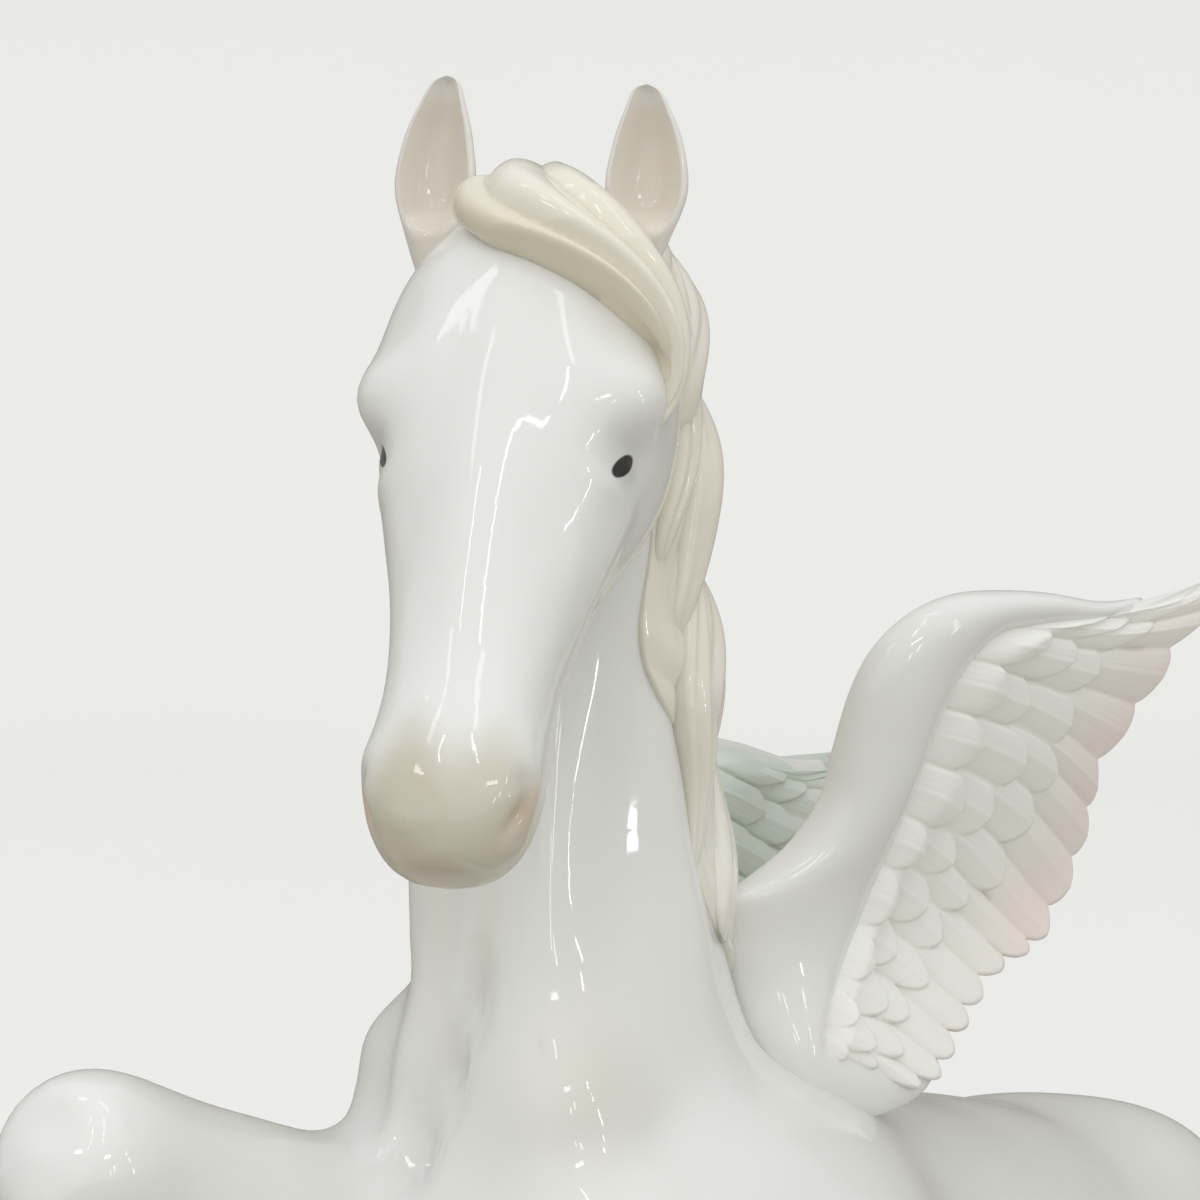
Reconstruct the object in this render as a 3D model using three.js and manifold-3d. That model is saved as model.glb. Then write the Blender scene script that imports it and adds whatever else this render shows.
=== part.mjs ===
// Pegasus figurine in glazed porcelain: a winged horse rearing on an oval mound.
// Millimetres, +Z up. The horse looks along -Y and its left side is +X.
// Each casting that is luted to the next one is a mesh of its own.

import * as THREE from 'three';
import Module from 'manifold-3d';

const wasm = await Module();
wasm.setup();

// Fit between luted castings
const SEAT_GAP = 0.3;

// Mound that the horse stands on
const BASE_LENGTH = 138;
const BASE_WIDTH = 92;
const BASE_HEIGHT = 15;
const BASE_CENTRE_Y = 21;
const BASE_EDGE_RADIUS = 4;
const FOOT_RING_WIDTH = 9;
const FOOT_RECESS_DEPTH = 1.5;
const VENT_DIAMETER = 7;
const VENT_DEPTH = 9;

// Trunk, from the point of the breast to the point of the buttock
const TRUNK_LENGTH = 162;
const TRUNK_PITCH = 17;
const BREAST_Y = -75;
const BREAST_HEIGHT = 184;

// Neck and head
const NECK_LENGTH = 88;
const NECK_LEAN = 3;
const NECK_ROOT_BACK = 18;
const NECK_BEND = 2;
const HEAD_LENGTH = 61;
const HEAD_TILT = 35;
const HEAD_YAW = 17;
const EAR_HEIGHT = 15.5;
const EAR_HALF_WIDTH = 3.5;
const EAR_SPREAD = 9;
const EAR_WALL = 1.1;

// Legs
const LEG_SIDES = 14;
const FOREARM_LENGTH = 50;
const FORE_CANNON_LENGTH = 33;
const PASTERN_LENGTH = 10;
const HOOF_HEIGHT = 9;
const HOOF_RADIUS = 7;
const FOREARM_RADIUS = 11;
const KNEE_RADIUS = 7.4;
const CANNON_RADIUS = 4;
const FORE_SHOULDER_SPREAD = 15;
const RIGHT_FOREARM_LIFT = 29;
const LEFT_FOREARM_LIFT = -14;
const THIGH_LENGTH = 46;
const HIND_CANNON_LENGTH = 38;
const THIGH_RADIUS = 12.5;
const HIP_SPREAD = 14;
const HIND_STANCE = 16;
const HOCK_RADIUS = 6;
const HIND_HOOF_STEP = 14;

// Mane, forelock and tail
const HAIR_SINK = 2;
const MANE_DEPTH = 3.7;
const MANE_STRANDS = 4;
const MANE_STRAND_RELIEF = 0.8;
const MANE_WAVE = 9;
const MANE_WAVES = 3.2;
const MANE_SWELL = 0.22;
const MANE_SWAY = 0.12;
const FORELOCK_SPAN = [1.01, 0.7];
const FORELOCK_SWEEP = [100, 14];
const FORELOCK_HALF_WIDTH = 6.6;
const FORELOCK_DEPTH = 4;
const FORELOCK_CURL_RADIUS = 10;
const FORELOCK_STRANDS = 3;
const FORELOCK_STRAND_RELIEF = 0.55;
const TAIL_RADIUS = 8.5;
const TAIL_STRANDS = 6;
const TAIL_STRAND_RELIEF = 0.14;
const TAIL_TWIST = 200;

// Wings, in their own frame: u runs back along the wing, v up, w outwards from the vane
const WING_LENGTH = 68;
const WING_ROOT_SPREAD = 7;
const WING_ROOT_BACK = 24;
const WING_ROOT_RISE = 22;
const WING_FLARE = 0.2;
const LEFT_WING_SPLAY = [0.26, 0.45];
const RIGHT_WING_SPLAY = [-0.2, -0.08];
const RIGHT_WING_TURN = 8;
const RIGHT_WING_DROP = 11;
const WING_SPLAY_SPAN = [-0.09, 0.56];
const WING_HUG = 0.5;
const FEATHER_COLUMNS = 4;
const FLIGHT_FEATHERS = 13;
const MIDDLE_COVERTS = 11;
const SMALL_COVERTS = 9;
const MIDDLE_COVERT_REACH = 0.68;
const SMALL_COVERT_REACH = 0.38;
const FEATHER_TIP_ROUND = 0.1;
const FLIGHT_HALF_DEPTH = 0.8;
const MIDDLE_HALF_DEPTH = 1.3;
const SMALL_HALF_DEPTH = 1.9;
const FEATHER_TILT = 0.45;

// Glaze and bisque colours
const WHITE_GLAZE = { color: 0xf1f1ef, roughness: 0.12, metalness: 0 };
const IVORY_GLAZE = { color: 0xe4dccb, roughness: 0.16, metalness: 0 };
const BISQUE = { color: 0xeae3e0, roughness: 0.6, metalness: 0 };

// Sections: each row is the full width of numbers, joined by a uniform Catmull-Rom blend
function blendRows(rows, t) {
  const last = rows.length - 1;
  const i = Math.min(Math.floor(t), last - 1);
  const f = t - i;
  const row = (k) => {
    if (k < 0) return rows[0].map((value, n) => 2 * value - rows[1][n]);
    if (k > last) return rows[last].map((value, n) => 2 * value - rows[last - 1][n]);
    return rows[k];
  };
  const [a, b, c, d] = [row(i - 1), row(i), row(i + 1), row(i + 2)];
  return b.map((value, n) => 0.5 * (2 * value + (c[n] - a[n]) * f
    + (2 * a[n] - 5 * value + 4 * c[n] - d[n]) * f * f
    + (3 * value - a[n] - 3 * c[n] + d[n]) * f * f * f));
}

// A table's lengths are shares of one named length; its last number is a squareness
const scaled = (sizes, length) => sizes.map((size, n) => (n < sizes.length - 1 ? size * length : size));

const vec = (x, y, z) => new THREE.Vector3(x, y, z);
const rad = (degrees) => THREE.MathUtils.degToRad(degrees);
const mix = (a, b, t) => a + (b - a) * t;

// The moving frame of a loft: centre, side and up at t, with up = side x tangent
function frameAt(rows, t, side) {
  const last = rows.length - 1;
  const step = 0.02;
  const before = blendRows(rows, Math.max(0, t - step));
  const after = blendRows(rows, Math.min(last, t + step));
  const row = blendRows(rows, t);
  const tangent = vec(after[0] - before[0], after[1] - before[1], after[2] - before[2]).normalize();
  const across = side.clone().addScaledVector(tangent, -side.dot(tangent)).normalize();
  const up = across.clone().cross(tangent);
  return { row, centre: vec(row[0], row[1], row[2]), tangent, across, up };
}

// A point on a loft's skin: rows hold x, y, z, half width, above, below, squareness
function skinPoint(rows, t, angle, side, grow = 0) {
  const { row, centre, across, up } = frameAt(rows, t, side);
  const power = 2 / row[6];
  const c = Math.cos(angle);
  const s = Math.sin(angle);
  const x = (row[3] + grow) * Math.sign(c) * Math.abs(c) ** power;
  const y = ((s > 0 ? row[4] : row[5]) + grow) * Math.sign(s) * Math.abs(s) ** power;
  return centre.addScaledVector(across, x).addScaledVector(up, y);
}

// Swellings and hollows move the skin away from the centre line
function swell(point, centre, swellings) {
  const out = point.clone().sub(centre).normalize();
  for (const { at, reach, height } of swellings) {
    const distance = point.distanceTo(at) / reach;
    point.addScaledVector(out, height * Math.exp(-distance * distance));
  }
  return point;
}

// Closed skin over rings of points, with a fan at each end
function skinOverRings(rings) {
  const sides = rings[0].length;
  const positions = [];
  const index = [];
  rings.forEach((ring) => ring.forEach((p) => positions.push(p.x, p.y, p.z)));
  for (let i = 0; i < rings.length - 1; i += 1) {
    for (let j = 0; j < sides; j += 1) {
      const a = i * sides + j;
      const b = i * sides + ((j + 1) % sides);
      index.push(a, b, b + sides, a, b + sides, a + sides);
    }
  }
  const capStart = positions.length / 3;
  for (const ring of [rings[0], rings[rings.length - 1]]) {
    const middle = ring.reduce((sum, p) => sum.add(p), vec(0, 0, 0)).divideScalar(sides);
    positions.push(middle.x, middle.y, middle.z);
  }
  const lastRing = (rings.length - 1) * sides;
  for (let j = 0; j < sides; j += 1) {
    const next = (j + 1) % sides;
    index.push(next, j, capStart, lastRing + j, lastRing + next, capStart + 1);
  }
  const geometry = new THREE.BufferGeometry();
  geometry.setAttribute('position', new THREE.Float32BufferAttribute(positions, 3));
  geometry.setIndex(index);
  return geometry;
}

// Six times the volume that the faces enclose: negative where they point inwards
function enclosed(positions, index) {
  const corner = (k) => vec().fromArray(positions, 3 * index[k]);
  let sum = 0;
  for (let k = 0; k < index.length; k += 3) sum += corner(k).dot(corner(k + 1).cross(corner(k + 2)));
  return sum;
}

function solidOf(geometry) {
  const positions = new Float32Array(geometry.attributes.position.array);
  const index = new Uint32Array(geometry.index.array);
  if (enclosed(positions, index) < 0) index.reverse();
  return new wasm.Manifold(new wasm.Mesh({ numProp: 3, vertProperties: positions, triVerts: index }));
}

function joined(solids) {
  return solids.reduce((whole, next) => whole.add(next));
}

function cutBy(solid, cutters) {
  return cutters.reduce((rest, cutter) => rest.subtract(cutter), solid);
}

function loft(rows, { rings, sides, side = vec(1, 0, 0), grow = 0, swellings = [], comb = null }) {
  const last = rows.length - 1;
  const skin = [];
  for (let i = 0; i <= rings; i += 1) {
    const t = (i / rings) * last;
    const { centre, tangent } = frameAt(rows, t, side);
    const push = i === 0 ? -grow : i === rings ? grow : 0;
    const ring = [];
    for (let j = 0; j < sides; j += 1) {
      const angle = (j / sides) * 2 * Math.PI;
      const point = skinPoint(rows, t, angle, side, grow);
      if (comb) point.sub(centre).multiplyScalar(comb(t, angle)).add(centre);
      ring.push(swell(point, centre, swellings).addScaledVector(tangent, push));
    }
    skin.push(ring);
  }
  return solidOf(skinOverRings(skin));
}

// Trunk: share of the length, then rise of the centre line, half width, above, below, squareness
const TRUNK_SECTIONS = [
  [-0.04, -0.03, 0.025, 0.02, 0.025, 2],
  [-0.015, -0.026, 0.095, 0.078, 0.1, 2],
  [0.05, -0.012, 0.138, 0.116, 0.142, 2.1],
  [0.14, 0, 0.155, 0.14, 0.16, 2.1],
  [0.29, -0.02, 0.16, 0.155, 0.172, 2.1],
  [0.48, -0.018, 0.17, 0.15, 0.172, 2.1],
  [0.66, -0.004, 0.151, 0.148, 0.148, 2.1],
  [0.82, 0.006, 0.154, 0.148, 0.142, 2.2],
  [0.94, 0, 0.111, 0.111, 0.111, 2.1],
  [1, 0, 0.049, 0.049, 0.049, 2],
];

const trunkAxis = vec(0, Math.cos(rad(TRUNK_PITCH)), -Math.sin(rad(TRUNK_PITCH)));
const trunkUp = vec(0, Math.sin(rad(TRUNK_PITCH)), Math.cos(rad(TRUNK_PITCH)));
const breast = vec(0, BREAST_Y, BREAST_HEIGHT);

function onTrunk(share, rise, across = 0) {
  return breast.clone().addScaledVector(trunkAxis, share * TRUNK_LENGTH)
    .addScaledVector(trunkUp, rise).add(vec(across, 0, 0));
}

const trunkRows = TRUNK_SECTIONS.map(([share, ...sizes]) => {
  const [rise, ...size] = scaled(sizes, TRUNK_LENGTH);
  return [...onTrunk(share, rise), ...size];
});

function trunk(grow = 0) {
  const unit = TRUNK_LENGTH;
  const swellings = [-1, 1].flatMap((hand) => [
    { at: onTrunk(-0.01, -0.012 * unit, 0.07 * unit * hand), reach: 0.056 * unit, height: 0.016 * unit },
    { at: onTrunk(0.16, 0.025 * unit, 0.15 * unit * hand), reach: 0.1 * unit, height: 0.019 * unit },
  ]);
  return loft(trunkRows, { rings: 24, sides: 28, grow, swellings });
}

// Neck, from the poll down: share, arch towards the crest, half width, crest, throat, squareness
const NECK_SECTIONS = [
  [-0.07, -0.004, 0.04, 0.045, 0.04, 2],
  [0, 0, 0.089, 0.1, 0.091, 2],
  [0.18, 0.006, 0.097, 0.118, 0.114, 2],
  [0.38, 0.011, 0.108, 0.136, 0.139, 2],
  [0.58, 0.006, 0.127, 0.159, 0.168, 2],
  [0.78, 0, 0.164, 0.198, 0.211, 2],
  [1, 0, 0.208, 0.235, 0.25, 2],
];

const neckRoot = breast.clone().add(vec(0, NECK_ROOT_BACK, -3));
const neckAxis = vec(0, Math.sin(rad(NECK_LEAN)), -Math.cos(rad(NECK_LEAN)));
const poll = neckRoot.clone().addScaledVector(neckAxis, -NECK_LENGTH);
const neckUp = vec(1, 0, 0).cross(neckAxis);
const neckRows = NECK_SECTIONS.map(([share, ...sizes]) => {
  const [arch, ...size] = scaled(sizes, NECK_LENGTH);
  const centre = poll.clone().addScaledVector(neckAxis, share * NECK_LENGTH).addScaledVector(neckUp, arch);
  centre.x -= NECK_BEND * Math.sin(Math.PI * share);
  return [...centre, ...size];
});

// Head, from the muzzle up: share, half width, face, jaw, squareness
const HEAD_SECTIONS = [
  [0, 0.059, 0.049, 0.052, 2],
  [0.05, 0.098, 0.089, 0.102, 2.2],
  [0.14, 0.113, 0.108, 0.131, 2.3],
  [0.27, 0.11, 0.105, 0.128, 2.4],
  [0.42, 0.133, 0.121, 0.172, 2.4],
  [0.58, 0.174, 0.141, 0.238, 2.4],
  [0.72, 0.208, 0.157, 0.279, 2.3],
  [0.86, 0.189, 0.151, 0.246, 2.1],
  [0.96, 0.148, 0.121, 0.164, 2],
  [1.03, 0.074, 0.066, 0.082, 2],
];

const headSide = vec(Math.cos(rad(HEAD_YAW)), Math.sin(rad(HEAD_YAW)), 0);
const headAxis = vec(
  -Math.sin(rad(HEAD_YAW)) * Math.sin(rad(HEAD_TILT)),
  Math.cos(rad(HEAD_YAW)) * Math.sin(rad(HEAD_TILT)),
  Math.cos(rad(HEAD_TILT)),
);
const headUp = headSide.clone().cross(headAxis);
const crown = poll.clone().add(vec(0, -3, 3));
const muzzle = crown.clone().addScaledVector(headAxis, -HEAD_LENGTH);

function onHead(share, rise, across) {
  return muzzle.clone().addScaledVector(headAxis, share * HEAD_LENGTH)
    .addScaledVector(headUp, rise).addScaledVector(headSide, across);
}

const headRows = HEAD_SECTIONS.map(([share, ...sizes]) => [
  ...onHead(share, 0, 0),
  ...scaled(sizes, HEAD_LENGTH),
]);

function headAndNeckSkin(grow = 0) {
  const unit = HEAD_LENGTH;
  const place = (share, rise, across, reach, height) => (
    { at: onHead(share, rise * unit, across * unit), reach: reach * unit, height: height * unit }
  );
  const swellings = [-1, 1].flatMap((hand) => [
    place(0.7, 0.07, 0.205 * hand, 0.069, 0.025),
    place(0.1, 0.025, 0.107 * hand, 0.056, 0.018),
    place(0.66, -0.15, 0.17 * hand, 0.13, 0.016),
    place(0.5, 0.1, 0.09 * hand, 0.1, -0.013),
  ]);
  const head = loft(headRows, { rings: 22, sides: 24, side: headSide, grow, swellings });
  const neck = loft(neckRows, { rings: 14, sides: 22, grow });
  return joined([head, neck]);
}

// Ear: a cupped leaf. Each ring runs round the outside and back along the hollow.
const EAR_SECTIONS = [
  [0, 0.46, 0.8],
  [0.14, 0.74, 0.95],
  [0.4, 1, 1],
  [0.66, 0.86, 0.85],
  [0.87, 0.48, 0.6],
  [1, 0.1, 0.3],
];

function ear(hand, grow = 0) {
  const foot = onHead(0.945, EAR_HEIGHT * 0.24, EAR_SPREAD * hand);
  const up = vec(0.06 * hand, 0.12, 1).normalize();
  const across = headSide.clone().addScaledVector(up, -headSide.dot(up)).normalize();
  const front = across.clone().cross(up);
  const arc = 6;
  const rings = [];
  const steps = 9;
  for (let i = 0; i <= steps; i += 1) {
    const [share, width, cup] = blendRows(EAR_SECTIONS, (i / steps) * (EAR_SECTIONS.length - 1));
    const lean = -0.07 * EAR_HEIGHT * hand * share * share * share;
    const rise = (share - 0.1) * EAR_HEIGHT;
    const centre = foot.clone().addScaledVector(up, rise).addScaledVector(across, lean);
    const half = EAR_HALF_WIDTH * width + grow;
    const ring = [];
    for (let j = 0; j <= arc; j += 1) {
      const angle = mix(0, Math.PI, j / arc);
      ring.push(centre.clone().addScaledVector(across, half * Math.cos(angle))
        .addScaledVector(front, -half * 0.95 * Math.sin(angle)));
    }
    for (let j = 0; j <= arc; j += 1) {
      const angle = mix(Math.PI, 0, j / arc);
      const inner = Math.max(half - EAR_WALL * cup - 2 * grow, half * 0.25);
      const hollow = half * 0.95 - EAR_WALL * cup * 1.6 - 2 * grow;
      const depth = share < 0.12 ? -0.35 * half : Math.max(hollow, 0.15 * half);
      ring.push(centre.clone().addScaledVector(across, inner * Math.cos(angle))
        .addScaledVector(front, -depth * Math.sin(angle) + 0.18 * half));
    }
    rings.push(ring);
  }
  return solidOf(skinOverRings(rings));
}

// Legs: a chain of round sections from the body down to the hoof
function legRows(points) {
  return points.map(([p, wide, back, front]) => [...p, wide, back, front, 2]);
}

function down(from, length, pitch, splay = 0) {
  // pitch 0 is straight down, 90 straight forward
  return from.clone().add(vec(
    length * Math.sin(rad(splay)),
    -length * Math.sin(rad(pitch)),
    -length * Math.cos(rad(pitch)),
  ));
}

function hoof(fetlock, pitch, grow = 0) {
  const top = down(fetlock, PASTERN_LENGTH, pitch);
  const sole = down(top, HOOF_HEIGHT, pitch);
  const r = HOOF_RADIUS;
  return loft(legRows([
    [top, r * 0.72, r * 0.72, r * 0.72],
    [top.clone().lerp(sole, 0.15), r * 0.82, r * 0.8, r * 0.86],
    [sole, r, r * 0.9, r * 1.12],
  ]), { rings: 2, sides: LEG_SIDES, grow });
}

function foreleg(hand, lift, grow = 0) {
  const shoulder = onTrunk(0.17, -6, FORE_SHOULDER_SPREAD * hand);
  const elbow = onTrunk(0.1, -12 + lift * 0.2, (FORE_SHOULDER_SPREAD + 1) * hand);
  const knee = down(elbow, FOREARM_LENGTH, 90 + lift, 4 * hand);
  const fold = 30 - lift * 0.6;
  const fetlock = down(knee, FORE_CANNON_LENGTH, -fold);
  const f = FOREARM_RADIUS;
  const k = KNEE_RADIUS;
  const c = CANNON_RADIUS;
  const forearm = loft(legRows([
    [shoulder, f, f * 1.27, f * 1.27],
    [elbow, f, f * 1.16, f * 1.2],
    [elbow.clone().lerp(knee, 0.35), f * 0.94, f * 1.05, f * 1.02],
    [elbow.clone().lerp(knee, 0.75), f * 0.74, f * 0.82, f * 0.8],
    [knee, k * 1.02, k, k * 1.06],
    [elbow.clone().lerp(knee, 1.09), k * 0.7, k * 0.66, k * 0.74],
  ]), { rings: 10, sides: LEG_SIDES, grow });
  const cannon = loft(legRows([
    [knee.clone().lerp(fetlock, -0.1), k * 0.6, k * 0.6, k * 0.6],
    [knee.clone().lerp(fetlock, 0.08), k * 0.9, k * 0.86, k * 0.94],
    [knee.clone().lerp(fetlock, 0.35), c * 1.16, c * 1.2, c * 1.12],
    [knee.clone().lerp(fetlock, 0.7), c, c * 1.1, c],
    [fetlock, c * 1.24, c * 1.4, c * 1.2],
    [down(fetlock, PASTERN_LENGTH * 0.7, -fold + 26), c * 1.05, c * 1.05, c],
    [down(fetlock, PASTERN_LENGTH + 3, -fold + 20), c * 1.1, c * 1.1, c * 1.1],
  ]), { rings: 11, sides: LEG_SIDES, grow });
  return joined([forearm, cannon, hoof(fetlock, -fold + 22, grow)]);
}

function hindLeg(hand, step, grow = 0) {
  const hip = onTrunk(0.83, 2, HIP_SPREAD * hand);
  const stifle = down(hip, THIGH_LENGTH, 30, 6 * hand);
  const ground = vec(HIND_STANCE * hand, hip.y - 4 + step, BASE_HEIGHT - 1);
  const fetlock = ground.clone().add(vec(0, 4, HOOF_HEIGHT + PASTERN_LENGTH));
  const hock = fetlock.clone().add(vec(0, HIND_CANNON_LENGTH * 0.36, HIND_CANNON_LENGTH * 0.93));
  const r = THIGH_RADIUS;
  const k = HOCK_RADIUS;
  const c = CANNON_RADIUS;
  const rows = legRows([
    [hip, r * 0.96, r * 1.76, r * 1.6],
    [hip.clone().lerp(stifle, 0.5), r, r * 1.6, r * 1.44],
    [stifle, r * 0.84, r * 1.2, r * 0.96],
    [stifle.clone().lerp(hock, 0.42), r * 0.64, r * 0.84, r * 0.8],
    [stifle.clone().lerp(hock, 0.8), k * 0.9, k * 1.1, k * 1.07],
    [hock, k, k * 1.15, k * 1.05],
    [hock.clone().lerp(fetlock, 0.35), c * 1.1, c * 1.25, c * 1.15],
    [hock.clone().lerp(fetlock, 0.75), c, c * 1.1, c],
    [fetlock, c * 1.24, c * 1.35, c * 1.25],
    [fetlock.clone().lerp(ground, 0.45), c * 1.08, c * 1.05, c * 1.1],
    [fetlock.clone().lerp(ground, 0.7), c * 1.1, c * 1.1, c * 1.1],
  ]);
  const leg = loft(rows, { rings: 20, sides: LEG_SIDES, grow });
  return joined([leg, hoof(fetlock, 12, grow)]);
}

// A sheet of hair laid on a skin: the outer face is combed into strands, the inner one is sunk in
function hairSheet({ steps, strips, under, over }) {
  const rings = [];
  for (let i = 0; i <= steps; i += 1) {
    const outer = [];
    const inner = [];
    for (let j = 0; j <= strips; j += 1) {
      outer.push(over(i / steps, j / strips));
      inner.push(under(i / steps, j / strips));
    }
    rings.push([...outer, ...inner.slice(1, -1).reverse()]);
  }
  return solidOf(skinOverRings(rings));
}

function strandRelief(strands, phase, depth) {
  return depth * (Math.abs(Math.sin(Math.PI * (strands * phase))) - 0.5);
}

// Mane: one wavy fall that lies on the horse's left side of the neck. The rows are the angle of its
// lower edge round the neck, from the poll down, with 90 at the crest.
const MANE_EDGE = [[10], [0], [-10], [-4], [14], [44]];
const MANE_FAR_EDGE = 114;
const MANE_SPAN = [0.09, 0.82];

function mane(grow = 0) {
  const last = neckRows.length - 1;
  const angleAt = (t, across) => {
    const wave = MANE_WAVE * Math.sin(2 * Math.PI * MANE_WAVES * t) * (0.3 + t) * across;
    const [edge] = blendRows(MANE_EDGE, t * (MANE_EDGE.length - 1));
    return rad(mix(MANE_FAR_EDGE, edge, across) + wave);
  };
  const end = (t) => Math.sqrt(Math.sin(Math.PI * mix(0.012, 0.985, t)))
    * (1 + MANE_SWELL * Math.sin(2 * Math.PI * MANE_WAVES * t + 1));
  const at = (t, across, lift) => skinPoint(
    neckRows,
    mix(MANE_SPAN[0], MANE_SPAN[1], t) * last,
    angleAt(t, across),
    vec(1, 0, 0),
    lift,
  );
  return hairSheet({
    steps: 19,
    strips: 9,
    over: (t, across) => {
      const crown = Math.sin(Math.PI * mix(0.03, 0.97, across)) ** 0.7;
      const sway = across + MANE_SWAY * Math.sin(2 * Math.PI * (MANE_WAVES * t + 0.2));
      const relief = strandRelief(MANE_STRANDS, sway, MANE_STRAND_RELIEF * 2);
      return at(t, across, (MANE_DEPTH * crown + relief * crown) * end(t) + grow);
    },
    under: (t, across) => at(t, across, -HAIR_SINK),
  });
}

// Forelock: springs up between the ears and sweeps over the left brow. Its span is in shares of the
// head's length and its sweep in degrees round it, with 90 on the forehead.
function forelock(grow = 0) {
  const path = (t, across, lift) => {
    const share = mix(...FORELOCK_SPAN, t) + mix(0.02, -0.05, t) * across;
    const spread = FORELOCK_HALF_WIDTH * across * (Math.sin(Math.PI * mix(0.3, 0.97, t)) ** 0.6);
    const angle = rad(mix(...FORELOCK_SWEEP, t ** 1.1)) - spread / FORELOCK_CURL_RADIUS;
    return skinPoint(headRows, headRowAt(share), angle, headSide, lift);
  };
  return hairSheet({
    steps: 12,
    strips: 9,
    over: (t, j) => {
      const across = 2 * j - 1;
      const crown = Math.sqrt(Math.max(0, 1 - across * across * 0.96));
      const relief = strandRelief(FORELOCK_STRANDS, j + 0.1 * Math.sin(5 * t), FORELOCK_STRAND_RELIEF * 2);
      const end = Math.sin(Math.PI * mix(0.3, 0.98, t)) ** 0.5;
      return path(t, across, (FORELOCK_DEPTH * crown + relief * crown) * end + grow);
    },
    under: (t, j) => path(t, 2 * j - 1, -HAIR_SINK),
  });
}

// The row number at which the head has this share of its length
function headRowAt(share) {
  let i = 0;
  while (i < HEAD_SECTIONS.length - 2 && HEAD_SECTIONS[i + 1][0] < share) i += 1;
  const [from, to] = [HEAD_SECTIONS[i][0], HEAD_SECTIONS[i + 1][0]];
  return i + (share - from) / (to - from);
}

// Tail: one thick fall, combed into twisting strands, that reaches the mound and props the horse
function tail(grow = 0) {
  const dock = onTrunk(0.985, TAIL_RADIUS);
  const r = TAIL_RADIUS;
  const drop = (share) => mix(dock.z, BASE_HEIGHT, share);
  const rows = [
    [0, dock.y - r * 0.7, dock.z - r * 0.1, r * 0.5, r * 0.5, r * 0.5, 2],
    [0, dock.y + r * 0.95, dock.z + r * 0.6, r * 0.72, r * 0.7, r * 0.7, 2],
    [r * 0.12, dock.y + r * 2.2, dock.z - r * 0.6, r * 0.95, r * 0.9, r * 0.9, 2],
    [r * 0.12, dock.y + r * 2.5, drop(0.34), r * 1.08, r * 1.02, r, 2],
    [-r * 0.12, dock.y + r * 1.65, drop(0.56), r * 1.15, r * 1.05, r, 2],
    [-r * 0.12, dock.y + r * 0.95, drop(0.78), r * 1.02, r * 0.95, r * 0.95, 2],
    [0, dock.y + r * 0.5, drop(0.93), r * 0.85, r * 0.8, r * 0.8, 2],
    [0, dock.y + r * 0.25, BASE_HEIGHT * 0.8, r * 0.8, r * 0.75, r * 0.75, 2],
  ];
  const comb = (t, angle) => {
    const share = t / (rows.length - 1);
    const depth = TAIL_STRAND_RELIEF * Math.min(1, 3 * share);
    return 1 + depth * Math.cos(TAIL_STRANDS * angle + rad(TAIL_TWIST) * share * 2);
  };
  return loft(rows, { rings: 20, sides: 24, grow, comb });
}

// Wing outline as shares of its length: the arm as u, v, w, half width and half depth, then u and v
// of the roots and tips of the flight feathers
const ARM_SECTIONS = [
  [0.151, -0.19, 0.007, 0.1, 0.053],
  [0.141, -0.088, 0.012, 0.094, 0.068],
  [0.154, 0.029, 0.012, 0.121, 0.071],
  [0.222, 0.112, 0.009, 0.085, 0.068],
  [0.263, 0.184, 0.004, 0.068, 0.062],
  [0.274, 0.265, 0.001, 0.063, 0.057],
  [0.279, 0.338, 0, 0.065, 0.054],
  [0.315, 0.406, 0, 0.062, 0.05],
  [0.4, 0.45, 0, 0.047, 0.04],
  [0.5, 0.459, 0, 0.034, 0.029],
  [0.618, 0.454, 0, 0.025, 0.022],
  [0.75, 0.471, 0, 0.016, 0.016],
];
const FEATHER_ROOTS = [
  [0.191, -0.147],
  [0.221, -0.074],
  [0.279, 0],
  [0.318, 0.074],
  [0.335, 0.138],
  [0.341, 0.191],
  [0.349, 0.243],
  [0.356, 0.294],
  [0.368, 0.346],
  [0.404, 0.394],
  [0.485, 0.426],
  [0.618, 0.449],
];
const FEATHER_TIPS = [
  [0.221, -0.228],
  [0.324, -0.19],
  [0.441, -0.154],
  [0.559, -0.096],
  [0.676, -0.066],
  [0.75, -0.015],
  [0.779, 0.059],
  [0.779, 0.132],
  [0.769, 0.206],
  [0.779, 0.294],
  [0.838, 0.412],
  [1, 0.588],
];

const wingRoot = breast.clone().add(vec(WING_ROOT_SPREAD, WING_ROOT_BACK, WING_ROOT_RISE));

// The vane hugs the barrel below its root and flares outwards above it. The right wing is set lower
// and swung back about its root.
function onWing(hand, back, rise, w) {
  const swing = hand > 0 ? 0 : rad(RIGHT_WING_TURN);
  const u = back * Math.cos(swing) + rise * Math.sin(swing);
  const v = rise * Math.cos(swing) - back * Math.sin(swing);
  const lean = v < 0 ? WING_HUG * -v : WING_FLARE * v;
  const turn = THREE.MathUtils.smoothstep(v / WING_LENGTH, ...WING_SPLAY_SPAN);
  const splay = mix(...(hand > 0 ? LEFT_WING_SPLAY : RIGHT_WING_SPLAY), turn);
  const along = Math.sqrt(1 - splay * splay);
  return vec(
    hand * (wingRoot.x + lean + u * splay + w * along),
    wingRoot.y + u * along - w * splay,
    wingRoot.z + v - (hand > 0 ? 0 : RIGHT_WING_DROP),
  );
}

// How far a rounded feather tip falls short of its row's outline, s running across the row
function tipDrop(count, s) {
  const phase = 2 * ((s * count) % 1) - 1;
  return FEATHER_TIP_ROUND * (1 - Math.sqrt(1 - 0.9 * phase * phase));
}

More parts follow.
